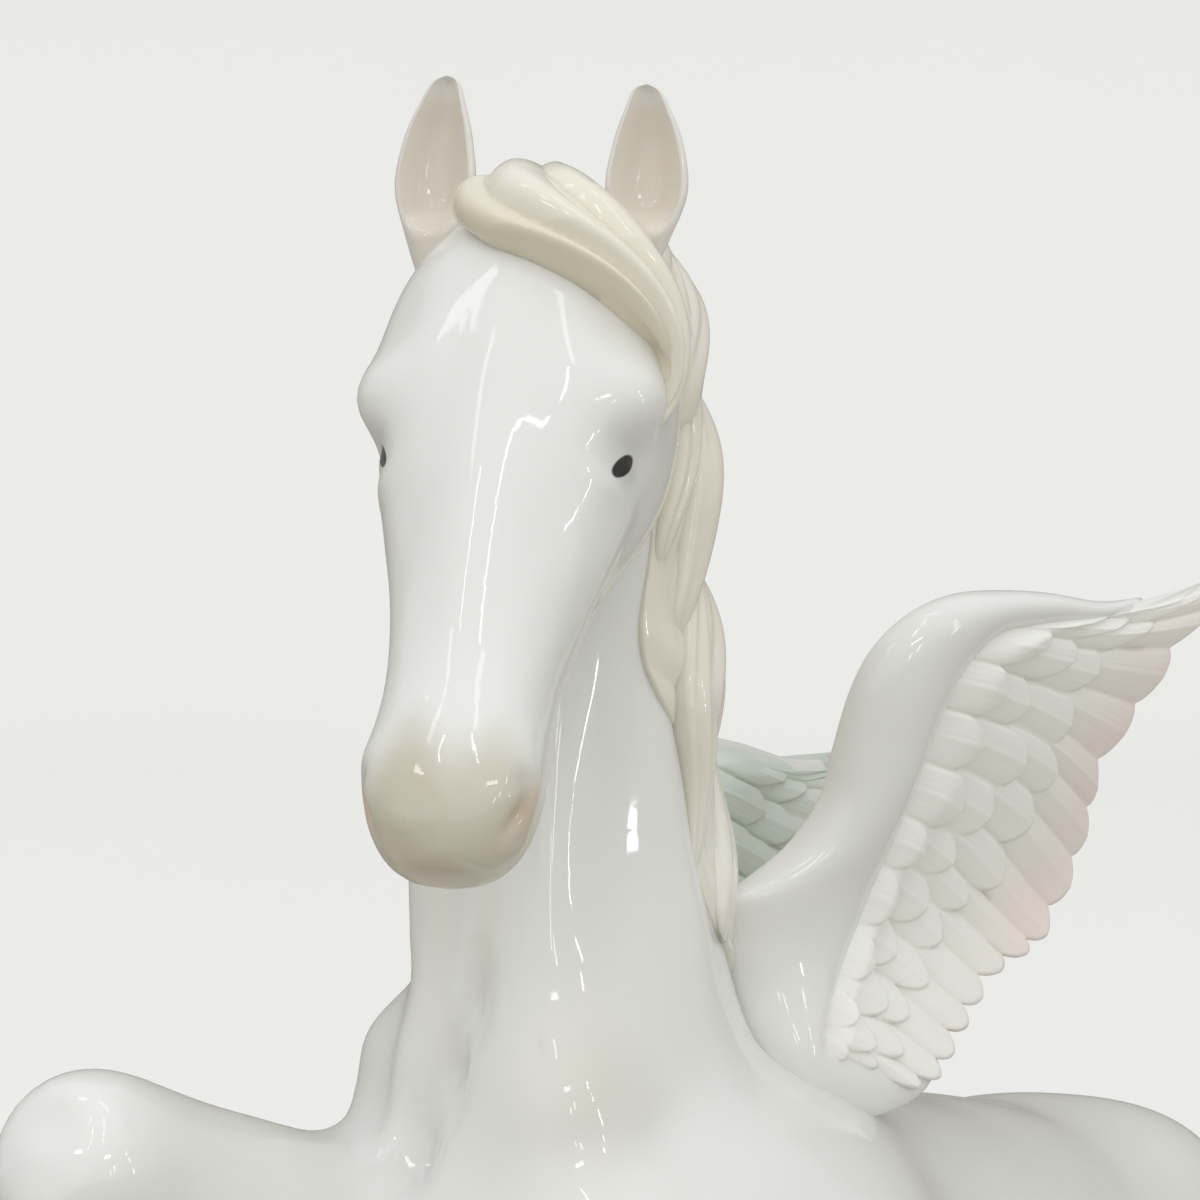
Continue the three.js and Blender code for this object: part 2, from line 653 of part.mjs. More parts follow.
// Vane: one grid that runs across the feathers and out along them, thick at each row of coverts
function vane(hand, grow) {
  const columns = FLIGHT_FEATHERS * FEATHER_COLUMNS;
  const rows = [
    { count: SMALL_COVERTS, reach: SMALL_COVERT_REACH, depth: SMALL_HALF_DEPTH },
    { count: MIDDLE_COVERTS, reach: MIDDLE_COVERT_REACH, depth: MIDDLE_HALF_DEPTH },
    { count: FLIGHT_FEATHERS, reach: 1, depth: FLIGHT_HALF_DEPTH },
  ];
  const rings = [];
  for (let i = 0; i <= columns; i += 1) {
    const s = mix(0.002, 0.998, i / columns);
    const at = s * (FEATHER_ROOTS.length - 1);
    const root = blendRows(FEATHER_ROOTS, at).map((share) => share * WING_LENGTH);
    const tip = blendRows(FEATHER_TIPS, at).map((share) => share * WING_LENGTH);
    const outer = [];
    const inner = [];
    let from = 0;
    for (const { count, reach, depth } of rows) {
      const to = reach * (1 - tipDrop(count, s));
      const tilt = FEATHER_TILT * (((s * count) % 1) - 0.5);
      for (const share of [0.04, 0.96]) {
        const t = mix(from, to, share);
        const u = mix(root[0], tip[0], t);
        const v = mix(root[1], tip[1], t);
        const half = depth * (reach === 1 ? mix(1, 0.55, share) : 1) + grow;
        outer.push(onWing(hand, u, v, half + tilt));
        inner.push(onWing(hand, u, v, -half + tilt));
      }
      from = to;
    }
    rings.push([...outer, ...inner.reverse()]);
  }
  return solidOf(skinOverRings(rings));
}

function wingArm(hand, grow) {
  const rings = [];
  const steps = 16;
  const sides = 8;
  for (let i = 0; i <= steps; i += 1) {
    const end = ARM_SECTIONS.length - 1;
    const t = (i / steps) * end;
    const [u, v, w, wide, deep] = blendRows(ARM_SECTIONS, t).map((share) => share * WING_LENGTH);
    const next = blendRows(ARM_SECTIONS, Math.min(t + 0.05, end));
    const last = blendRows(ARM_SECTIONS, Math.max(t - 0.05, 0));
    const length = Math.hypot(next[0] - last[0], next[1] - last[1]);
    const along = [(next[0] - last[0]) / length, (next[1] - last[1]) / length];
    const ring = [];
    for (let j = 0; j < sides; j += 1) {
      const angle = (j / sides) * 2 * Math.PI;
      const across = (wide + grow) * Math.cos(angle);
      ring.push(onWing(hand, u - along[1] * across, v + along[0] * across,
        w + (deep + grow) * Math.sin(angle)));
    }
    rings.push(ring);
  }
  return solidOf(skinOverRings(rings));
}

function wing(hand, grow = 0) {
  return joined([wingArm(hand, grow), vane(hand, grow)]);
}

// Mound: an oval with a rolled edge and a domed top, on a foot ring with a vent hole
function oval(halfLength, halfWidth, z, sides = 32) {
  const ring = [];
  for (let j = 0; j < sides; j += 1) {
    const angle = (j / sides) * 2 * Math.PI;
    ring.push(vec(halfWidth * Math.cos(angle), BASE_CENTRE_Y + halfLength * Math.sin(angle), z));
  }
  return ring;
}

function mound(grow = 0) {
  const halfLength = BASE_LENGTH / 2 + grow;
  const halfWidth = BASE_WIDTH / 2 + grow;
  const top = BASE_HEIGHT + grow;
  const edge = BASE_EDGE_RADIUS;
  const rings = [oval(halfLength - edge * 0.5, halfWidth - edge * 0.5, -grow)];
  rings.push(oval(halfLength, halfWidth, edge * 0.7));
  rings.push(oval(halfLength - edge * 0.3, halfWidth - edge * 0.3, edge * 1.5));
  for (const share of [0.85, 0.65, 0.4]) {
    const rise = Math.sqrt(1 - share * share);
    rings.push(oval(halfLength * share, halfWidth * share, mix(edge * 1.5, top, rise ** 0.7)));
  }
  rings.push(oval(halfLength * 0.1, halfWidth * 0.1, top));
  const body = solidOf(skinOverRings(rings));
  if (grow > 0) return body;
  const recess = solidOf(skinOverRings([
    oval(halfLength - edge - FOOT_RING_WIDTH, halfWidth - edge - FOOT_RING_WIDTH, -1),
    oval(halfLength - edge - FOOT_RING_WIDTH, halfWidth - edge - FOOT_RING_WIDTH, FOOT_RECESS_DEPTH),
  ]));
  const vent = solidOf(skinOverRings([
    oval(VENT_DIAMETER / 2, VENT_DIAMETER / 2, -1, 20),
    oval(VENT_DIAMETER / 2, VENT_DIAMETER / 2, VENT_DEPTH, 20),
  ]));
  return cutBy(body, [recess, vent]);
}

// Assembly: each casting is cut by the grown form of those it is luted to
const grownTrunk = trunk(SEAT_GAP);
const grownHeadAndNeck = headAndNeckSkin(SEAT_GAP);
const grownMound = mound(SEAT_GAP);
const grownEars = [ear(-1, SEAT_GAP), ear(1, SEAT_GAP)];
const grownWings = [wing(-1, SEAT_GAP), wing(1, SEAT_GAP)];

const castings = [
  ['base_mound', mound(), WHITE_GLAZE],
  ['trunk', trunk(), WHITE_GLAZE],
  ['head_and_neck', cutBy(headAndNeckSkin(), [grownTrunk]), WHITE_GLAZE],
  ['right_foreleg', cutBy(foreleg(-1, RIGHT_FOREARM_LIFT), [grownTrunk, grownHeadAndNeck]), WHITE_GLAZE],
  ['left_foreleg', cutBy(foreleg(1, LEFT_FOREARM_LIFT), [grownTrunk, grownHeadAndNeck]), WHITE_GLAZE],
  ['right_hind_leg', cutBy(hindLeg(-1, 0), [grownTrunk, grownMound]), WHITE_GLAZE],
  ['left_hind_leg', cutBy(hindLeg(1, -HIND_HOOF_STEP), [grownTrunk, grownMound]), WHITE_GLAZE],
  ['tail', cutBy(tail(), [grownTrunk, grownMound]), IVORY_GLAZE],
  ['right_ear', cutBy(ear(-1), [grownHeadAndNeck]), WHITE_GLAZE],
  ['left_ear', cutBy(ear(1), [grownHeadAndNeck]), WHITE_GLAZE],
  ['mane', cutBy(mane(), [grownHeadAndNeck, grownTrunk, ...grownEars, ...grownWings]), IVORY_GLAZE],
  ['forelock', cutBy(forelock(), [grownHeadAndNeck, ...grownEars, mane(SEAT_GAP)]), IVORY_GLAZE],
  ['right_wing', cutBy(wing(-1), [grownTrunk, grownHeadAndNeck]), BISQUE],
  ['left_wing', cutBy(wing(1), [grownTrunk, grownHeadAndNeck]), BISQUE],
];

function meshOf([name, solid, finish]) {
  const { vertProperties, triVerts } = solid.getMesh();
  const geometry = new THREE.BufferGeometry();
  geometry.setAttribute('position', new THREE.BufferAttribute(vertProperties, 3));
  geometry.setIndex(new THREE.BufferAttribute(triVerts, 1));
  geometry.computeVertexNormals();
  const mesh = new THREE.Mesh(geometry, new THREE.MeshStandardMaterial(finish));
  mesh.name = name;
  return mesh;
}

const figurine = new THREE.Group();
castings.forEach((casting) => figurine.add(meshOf(casting)));

// The origin is the middle of the footprint of the whole figurine
const reach = new THREE.Box3().setFromObject(figurine, true);
const middle = reach.getCenter(vec(0, 0, 0));
figurine.position.set(-middle.x, -middle.y, -reach.min.z);
figurine.updateMatrixWorld(true);

export default figurine;
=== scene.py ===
"""A winged horse in glazed porcelain, rearing on an oval mound.

The frame gives the place of every casting. The surfaces are worked out here again, finer, from the
same sections as the castings: lofts along the trunk, neck, head and legs that are melted into one
glazed skin, combed sheets for the hair, and feather blades laid out along the wing.
All sizes are in millimetres in the horse's own frame and become metres when a mesh is made.
"""

import logging
import math
from dataclasses import dataclass, field, replace
from enum import Enum, IntEnum
from typing import Callable, Sequence

import bmesh
import bpy
import numpy as np
from mathutils import Matrix, Vector


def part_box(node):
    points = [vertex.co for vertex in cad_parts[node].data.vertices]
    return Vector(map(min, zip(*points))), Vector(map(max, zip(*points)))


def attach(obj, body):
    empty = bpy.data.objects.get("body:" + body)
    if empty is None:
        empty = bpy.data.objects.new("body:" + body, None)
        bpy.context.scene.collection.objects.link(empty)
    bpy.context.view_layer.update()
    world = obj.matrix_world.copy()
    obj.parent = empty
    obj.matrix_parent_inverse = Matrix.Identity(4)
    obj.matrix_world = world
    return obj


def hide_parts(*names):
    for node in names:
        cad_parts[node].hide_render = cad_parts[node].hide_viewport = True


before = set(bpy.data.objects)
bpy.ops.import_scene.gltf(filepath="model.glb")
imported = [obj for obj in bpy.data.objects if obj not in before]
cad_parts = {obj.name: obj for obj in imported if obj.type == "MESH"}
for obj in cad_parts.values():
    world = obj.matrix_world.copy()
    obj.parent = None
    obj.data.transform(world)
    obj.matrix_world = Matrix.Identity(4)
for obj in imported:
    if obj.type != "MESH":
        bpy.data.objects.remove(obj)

Array = np.ndarray
Color = tuple[float, float, float]
Socket = bpy.types.NodeSocket
LOG = logging.getLogger("pegasus")
MM = 0.001
BODY = "root"
# The fired colours; each glaze has a second tone, to which it drifts where it pools
WHITE = (0.84, 0.845, 0.82)
WHITE_POOLED = (0.80, 0.805, 0.78)
IVORY = (0.85, 0.83, 0.75)
IVORY_POOLED = (0.81, 0.77, 0.65)
EAR_WHITE = (0.81, 0.79, 0.74)
EAR_POOLED = (0.78, 0.755, 0.70)
BARE = (0.93, 0.925, 0.885)
PINK = (0.93, 0.81, 0.78)
GREEN = (0.70, 0.77, 0.705)
ROSE = (0.86, 0.81, 0.79)


class Hand(IntEnum):
    """A side of the horse; its number is the sign of X there."""

    LEFT = 1
    RIGHT = -1

    @property
    def word(self) -> str:
        """The side as it stands in the names of pieces."""
        return self.name.lower()


def vec(x: float, y: float, z: float) -> Array:
    """A point or direction as an array."""
    return np.array([x, y, z], float)


def unit(v: Array) -> Array:
    """The vectors of v, each divided by its length."""
    return v / np.maximum(np.linalg.norm(v, axis=-1, keepdims=True), 1e-12)


def mix(a: float | Array, b: float | Array, t: float | Array) -> float | Array:
    """The blend a + (b - a) * t."""
    return a + (b - a) * t


def smoothstep(x: Array | float, low: float, high: float) -> Array:
    """0 below low, 1 above high, and the cubic 3t^2 - 2t^3 between them.

    Args:
        x: the numbers.
        low: where the rise starts.
        high: where it ends.

    Returns:
        The eased numbers, 0 to 1.
    """
    t = np.clip((np.asarray(x, float) - low) / (high - low), 0.0, 1.0)
    return t * t * (3.0 - 2.0 * t)


def scaled(sizes: Sequence[float], length: float) -> list[float]:
    """Shares of one length as millimetres; the last number, a squareness, is kept."""
    return [size * length for size in sizes[:-1]] + [sizes[-1]]


def blend_rows(rows: Array, t: Array) -> Array:
    """Rows of numbers joined by a uniform Catmull-Rom blend.

    Args:
        rows: the section numbers, one row for each station.
        t: where to read them, 0 at the first row and 1 more at each next row.

    Returns:
        One blended row for each value of t.
    """
    rows = np.asarray(rows, float)
    last = len(rows) - 1
    t = np.clip(np.asarray(t, float), 0, last)
    i = np.minimum(t.astype(int), last - 1)
    f = (t - i)[..., None]
    p = np.vstack([2 * rows[0] - rows[1], rows, 2 * rows[-1] - rows[-2]])
    a, b, c, d = p[i], p[i + 1], p[i + 2], p[i + 3]
    curve = (2 * a - 5 * b + 4 * c - d) * f ** 2 + (3 * b - a - 3 * c + d) * f ** 3
    return 0.5 * (2 * b + (c - a) * f + curve)


@dataclass
class Shell:
    """A closed skin: its points in millimetres, its faces, and values that ride on its points."""

    points: Array
    faces: list[Array]
    values: dict[str, Array] = field(default_factory=dict)

    def joined(self, others: Sequence["Shell"]) -> "Shell":
        """This skin and others as one list of points and faces, side by side.

        Args:
            others: skins with the same values as this one.

        Returns:
            The joined skin.
        """
        shells = [self, *others]
        starts = np.cumsum([0] + [len(s.points) for s in shells[:-1]])
        faces = [f + start for s, start in zip(shells, starts) for f in s.faces]
        values = {k: np.concatenate([s.values[k] for s in shells]) for k in self.values}
        return Shell(np.vstack([s.points for s in shells]), faces, values)

    def facing_out(self) -> "Shell":
        """The same skin, turned if the volume that its faces enclose is negative.

        Returns:
            This skin; the volume is the sum of a . (b x c) over its triangles.
        """
        total = 0.0
        for f in self.faces:
            for k in range(1, f.shape[1] - 1):
                a, b, c = (self.points[f[:, n]] for n in (0, k, k + 1))
                total += float(np.einsum("ij,ij->", a, np.cross(b, c)))
        if total < 0:
            self.faces = [f[:, ::-1] for f in self.faces]
        return self


def ring_shell(rings: Array, values: dict[str, Array] | None = None) -> Shell:
    """A closed skin over rings of points, with a fan of triangles at each end.

    Args:
        rings: points as rings x sides x 3.
        values: numbers for each point of the rings, by name.

    Returns:
        The skin, facing outwards.
    """
    count, sides, _ = rings.shape
    index = np.arange(count * sides).reshape(count, sides)
    a, b = index[:-1], index[1:]
    quads = np.stack([a, np.roll(a, -1, 1), np.roll(b, -1, 1), b], -1).reshape(-1, 4)
    first, last = index[0], index[-1]
    start, end = count * sides, count * sides + 1
    fans = np.vstack([
        np.stack([np.roll(first, -1), first, np.full(sides, start)], -1),
        np.stack([last, np.roll(last, -1), np.full(sides, end)], -1),
    ])
    points = np.vstack([rings.reshape(-1, 3), rings[0].mean(0), rings[-1].mean(0)])
    kept = {}
    for name, grid in (values or {}).items():
        kept[name] = np.concatenate([grid.reshape(-1), [grid[0].mean(), grid[-1].mean()]])
    return Shell(points, [quads, fans], kept).facing_out()


@dataclass(frozen=True)
class Swelling:
    """A rounded swelling or hollow: its height falls off as exp(-(distance / reach)^2)."""

    at: Array
    reach: float
    height: float


@dataclass
class Loft:
    """A body carried along a line.

    Each row holds x, y, z, half width, above, below and squareness. The section at a row is the
    curve (w |cos a|^(2/p), h |sin a|^(2/p)) with h above or below, set square to the line.
    """

    rows: Array
    side: Array = field(default_factory=lambda: vec(1, 0, 0))
    swellings: tuple[Swelling, ...] = ()
    step: float = 0.02

    @property
    def last(self) -> int:
        """The number of the last row."""
        return len(self.rows) - 1

    def frame_at(self, t: Array) -> tuple[Array, Array, Array, Array]:
        """The section and its directions: the tangent is the step from just behind to just ahead.

        Args:
            t: places along the line, in rows.

        Returns:
            The rows, and the across, up and tangent directions there.
        """
        row = blend_rows(self.rows, t)
        ahead = blend_rows(self.rows, np.minimum(t + self.step, self.last))[..., :3]
        behind = blend_rows(self.rows, np.maximum(t - self.step, 0))[..., :3]
        tangent = unit(ahead - behind)
        across = unit(self.side - (tangent @ self.side)[..., None] * tangent)
        return row, across, np.cross(across, tangent), tangent

    def skin(self, t: Array, angle: Array, lift: Array | float = 0.0) -> Array:
        """Points on the skin or off it: the section curve, pushed out by the swellings.

        Args:
            t: places along the line, in rows.
            angle: angles round it from its left, in radians.
            lift: how far off the skin, in millimetres.

        Returns:
            The points.
        """
        t, angle, lift = np.broadcast_arrays(t, angle, lift)
        row, across, up, _ = self.frame_at(t)
        c, s = np.cos(angle), np.sin(angle)
        power = 2 / row[..., 6]
        tall = np.where(s > 0, row[..., 4], row[..., 5])
        x = (row[..., 3] + lift) * np.sign(c) * np.abs(c) ** power
        y = (tall + lift) * np.sign(s) * np.abs(s) ** power
        points = row[..., :3] + across * x[..., None] + up * y[..., None]
        out = unit(points - row[..., :3])
        for bulge in self.swellings:
            near = np.exp(-(np.linalg.norm(points - bulge.at, axis=-1) / bulge.reach) ** 2)
            points = points + out * (bulge.height * near)[..., None]
        return points

    def shell(self, rings: int, sides: int) -> Shell:
        """The closed skin on an even grid.

        Args:
            rings: how many steps along it.
            sides: how many points round it.

        Returns:
            The skin.
        """
        t = np.linspace(0, self.last, rings + 1)[:, None]
        angle = (np.arange(sides) * 2 * math.pi / sides)[None]
        return ring_shell(self.skin(t, angle))


@dataclass
class Horse:
    """The landmarks of the horse, in millimetres: every casting is placed from them."""

    base_centre_y: float = 21.0
    base_length: float = 138.0
    base_width: float = 92.0
    base_height: float = 15.0
    base_edge: float = 4.0
    trunk_length: float = 162.0
    trunk_pitch: float = 17.0
    breast: Array = field(default_factory=lambda: vec(0, -75, 184))
    neck_length: float = 88.0
    neck_lean: float = 3.0
    neck_root_back: float = 18.0
    neck_bend: float = 2.0
    head_length: float = 61.0
    head_tilt: float = 35.0
    head_yaw: float = 17.0

    TRUNK = (
        (-0.04, -0.03, 0.025, 0.02, 0.025, 2),
        (-0.015, -0.026, 0.095, 0.078, 0.1, 2),
        (0.05, -0.012, 0.138, 0.116, 0.142, 2.1),
        (0.14, 0, 0.155, 0.14, 0.16, 2.1),
        (0.29, -0.02, 0.16, 0.155, 0.172, 2.1),
        (0.48, -0.018, 0.17, 0.15, 0.172, 2.1),
        (0.66, -0.004, 0.151, 0.148, 0.148, 2.1),
        (0.82, 0.006, 0.154, 0.148, 0.142, 2.2),
        (0.94, 0, 0.111, 0.111, 0.111, 2.1),
        (1, 0, 0.049, 0.049, 0.049, 2),
    )
    NECK = (
        (-0.07, -0.004, 0.04, 0.045, 0.04, 2),
        (0, 0, 0.089, 0.1, 0.091, 2),
        (0.18, 0.006, 0.097, 0.118, 0.114, 2),
        (0.38, 0.011, 0.108, 0.136, 0.139, 2),
        (0.58, 0.006, 0.127, 0.159, 0.168, 2),
        (0.78, 0, 0.164, 0.198, 0.211, 2),
        (1, 0, 0.208, 0.235, 0.25, 2),
    )
    HEAD = (
        (0, 0.059, 0.049, 0.052, 2),
        (0.05, 0.098, 0.089, 0.102, 2.2),
        (0.14, 0.113, 0.108, 0.131, 2.3),
        (0.27, 0.11, 0.105, 0.128, 2.4),
        (0.42, 0.133, 0.121, 0.172, 2.4),
        (0.58, 0.174, 0.141, 0.238, 2.4),
        (0.72, 0.208, 0.157, 0.279, 2.3),
        (0.86, 0.189, 0.151, 0.246, 2.1),
        (0.96, 0.148, 0.121, 0.164, 2),
        (1.03, 0.074, 0.066, 0.082, 2),
    )

    def __post_init__(self) -> None:
        """Works out the axes of the trunk, neck and head."""
        pitch, lean = math.radians(self.trunk_pitch), math.radians(self.neck_lean)
        tilt, yaw = math.radians(self.head_tilt), math.radians(self.head_yaw)
        self.trunk_axis = vec(0, math.cos(pitch), -math.sin(pitch))
        self.trunk_up = vec(0, math.sin(pitch), math.cos(pitch))
        self.neck_root = self.breast + vec(0, self.neck_root_back, -3)
        self.neck_axis = vec(0, math.sin(lean), -math.cos(lean))
        self.poll = self.neck_root - self.neck_axis * self.neck_length
        self.head_side = vec(math.cos(yaw), math.sin(yaw), 0)
        self.head_axis = vec(
            -math.sin(yaw) * math.sin(tilt), math.cos(yaw) * math.sin(tilt), math.cos(tilt)
        )
        self.head_up = np.cross(self.head_side, self.head_axis)
        self.muzzle = self.poll + vec(0, -3, 3) - self.head_axis * self.head_length

    def on_trunk(self, share: float, rise: float, across: float = 0.0) -> Array:
        """A point at a share of the trunk's length, above its line and to its left."""
        along = self.trunk_axis * share * self.trunk_length
        return self.breast + along + self.trunk_up * rise + vec(across, 0, 0)

    def on_head(self, share: float, rise: float, across: float) -> Array:
        """A point at a share of the head's length, above its line and to its left."""
        along = self.head_axis * share * self.head_length
        return self.muzzle + along + self.head_up * rise + self.head_side * across

    def in_head(self, points: Array) -> Array:
        """Points as distances from the muzzle along the head, up from its line and across it."""
        rel = points - self.muzzle
        return np.stack([rel @ self.head_axis, rel @ self.head_up, rel @ self.head_side], -1)

    def trunk(self) -> Loft:
        """The trunk from the breast to the buttock.

        Returns:
            A loft with a swelling for each muscle.
        """
        rows = []
        for share, *sizes in self.TRUNK:
            rise, *size = scaled(sizes, self.trunk_length)
            rows.append([*self.on_trunk(share, rise), *size])
        muscle = []
        for hand in (Hand.RIGHT, Hand.LEFT):
            muscle.append(Swelling(self.on_trunk(-0.01, -2, 11.3 * hand), 9, 2.6))
            muscle.append(Swelling(self.on_trunk(0.16, 4, 24 * hand), 16, 3.0))
        return Loft(np.array(rows), swellings=tuple(muscle))

    def neck(self) -> Loft:
        """The neck from the poll down into the breast.

        Returns:
            A loft that bows aside by neck_bend * sin(pi * share).
        """
        up = np.cross(vec(1, 0, 0), self.neck_axis)
        rows = []
        for share, *sizes in self.NECK:
            arch, *size = scaled(sizes, self.neck_length)
            centre = self.poll + self.neck_axis * share * self.neck_length + up * arch
            centre[0] -= self.neck_bend * math.sin(math.pi * share)
            rows.append([*centre, *size])
        return Loft(np.array(rows))

    def head(self) -> Loft:
        """The head from the muzzle to the poll.

        Returns:
            A loft turned aside with head_side.
        """
        rows = [[*self.on_head(share, 0, 0), *scaled(size, self.head_length)]
                for share, *size in self.HEAD]
        return Loft(np.array(rows), side=self.head_side)

    def head_row(self, share: Array) -> Array:
        """The row number at which the head has a share of its length."""
        shares = [row[0] for row in self.HEAD]
        return np.interp(share, shares, np.arange(len(shares)))


@dataclass(frozen=True)
class Relief:
    """Carving: the skin moves along its normal by height * exp(-(sum of (distance / radius)^2)).

    On the head its place is in millimetres from the muzzle: along, up and out from the middle, the
    same on both sides of the face. On the body it is in the horse's own frame.
    """

    at: tuple[float, float, float]
    radii: tuple[float, float, float]
    height: float


FACE_CARVING = (
    Relief((40.8, 4.6, 12.2), (3.2, 3.6, 3.6), 1.45),
    Relief((44.0, 9.0, 3.4), (5.0, 4.0, 1.9), -0.25),
    Relief((33.0, 8.5, 4.2), (6.0, 4.0, 2.0), -0.22),
    Relief((20.0, 7.5, 3.0), (6.0, 4.0, 2.0), -0.2),
    Relief((36.4, 2.6, 11.2), (2.3, 3.2, 3.4), -0.9),
    Relief((35.6, 2.3, 10.9), (1.3, 2.0, 3.0), 0.6),
    Relief((33.2, 2.4, 10.4), (1.1, 3.0, 4.0), 0.35),
    Relief((46.5, 6.5, 8.6), (4.0, 3.5, 4.0), -0.6),
    Relief((27.5, 6.2, 6.6), (8.0, 3.0, 3.0), -0.75),
    Relief((27.0, 9.5, 0.0), (15.0, 4.0, 2.6), 0.4),
    Relief((29.0, -1.0, 9.6), (8.0, 2.0, 4.0), 0.5),
    Relief((37.0, -11.0, 9.4), (7.0, 6.0, 5.0), 0.9),
    Relief((6.8, 3.0, 6.0), (3.2, 2.6, 2.8), 0.8),
    Relief((4.6, 2.2, 6.4), (2.0, 0.8, 2.4), -0.75),
    Relief((6.8, 3.2, 6.6), (1.1, 1.0, 2.4), -0.45),
    Relief((3.4, -2.8, 5.2), (4.0, 0.55, 3.0), -0.45),
    Relief((5.5, -7.0, 0.0), (3.0, 2.5, 4.5), 0.7),
    Relief((13.5, -8.0, 0.0), (3.0, 2.5, 4.5), -0.8),
)


BODY_CARVING = (
    Relief((-15.5, -65.0, 194.5), (5.0, 8.0, 7.5), 3.2),
    Relief((-14.6, -66.0, 200.5), (4.0, 8.0, 4.5), 2.2),
    Relief((-21.5, -67.0, 190.0), (3.2, 5.0, 3.6), -2.6),
    Relief((-12.6, -67.0, 206.0), (3.0, 5.0, 2.6), -0.7),
    Relief((-10.5, -67.5, 220.0), (5.0, 7.0, 11.0), 2.0),
    Relief((-1.5, -75.4, 206.5), (1.5, 4.0, 4.0), -1.8),
    Relief((-3.6, -76.2, 200.5), (1.5, 4.0, 4.0), -2.6),
    Relief((-6.2, -77.2, 193.5), (1.8, 4.0, 5.0), -2.8),
    Relief((-8.6, -74.0, 200.0), (2.2, 4.0, 7.0), 1.2),
    Relief((6.0, -73.5, 198.5), (5.0, 8.0, 7.0), 2.8),
    Relief((12.5, -68.0, 192.0), (2.0, 5.0, 5.0), -2.0),
    Relief((3.3, -72.0, 218.0), (2.4, 4.0, 14.0), 0.9),
    Relief((8.0, -66.0, 219.0), (2.6, 4.0, 15.0), -0.9),
    Relief((-5.5, -71.5, 214.0), (2.6, 4.0, 12.0), -1.0),
    Relief((9.5, -58.5, 226.0), (3.0, 3.0, 8.0), 0.7),
    Relief((11.5, -57.5, 214.0), (3.0, 3.0, 8.0), 1.0),
    Relief((13.0, -71.0, 192.0), (2.4, 3.5, 5.0), 1.0),
    Relief((0.0, 40.0, 172.0), (18.0, 16.0, 14.0), -1.2),
    Relief((12.0, 70.0, 161.0), (14.0, 16.0, 14.0), 3.0),
)


class LegKind(Enum):
    """Which pair a leg belongs to."""

    FORE = "fore"
    HIND = "hind"


def down(start: Array, length: float, pitch: float, splay: float = 0.0) -> Array:
    """The point length below start, swung forwards by pitch and outwards by splay degrees."""
    p, s = math.radians(pitch), math.radians(splay)
    return start + vec(length * math.sin(s), -length * math.sin(p), -length * math.cos(p))


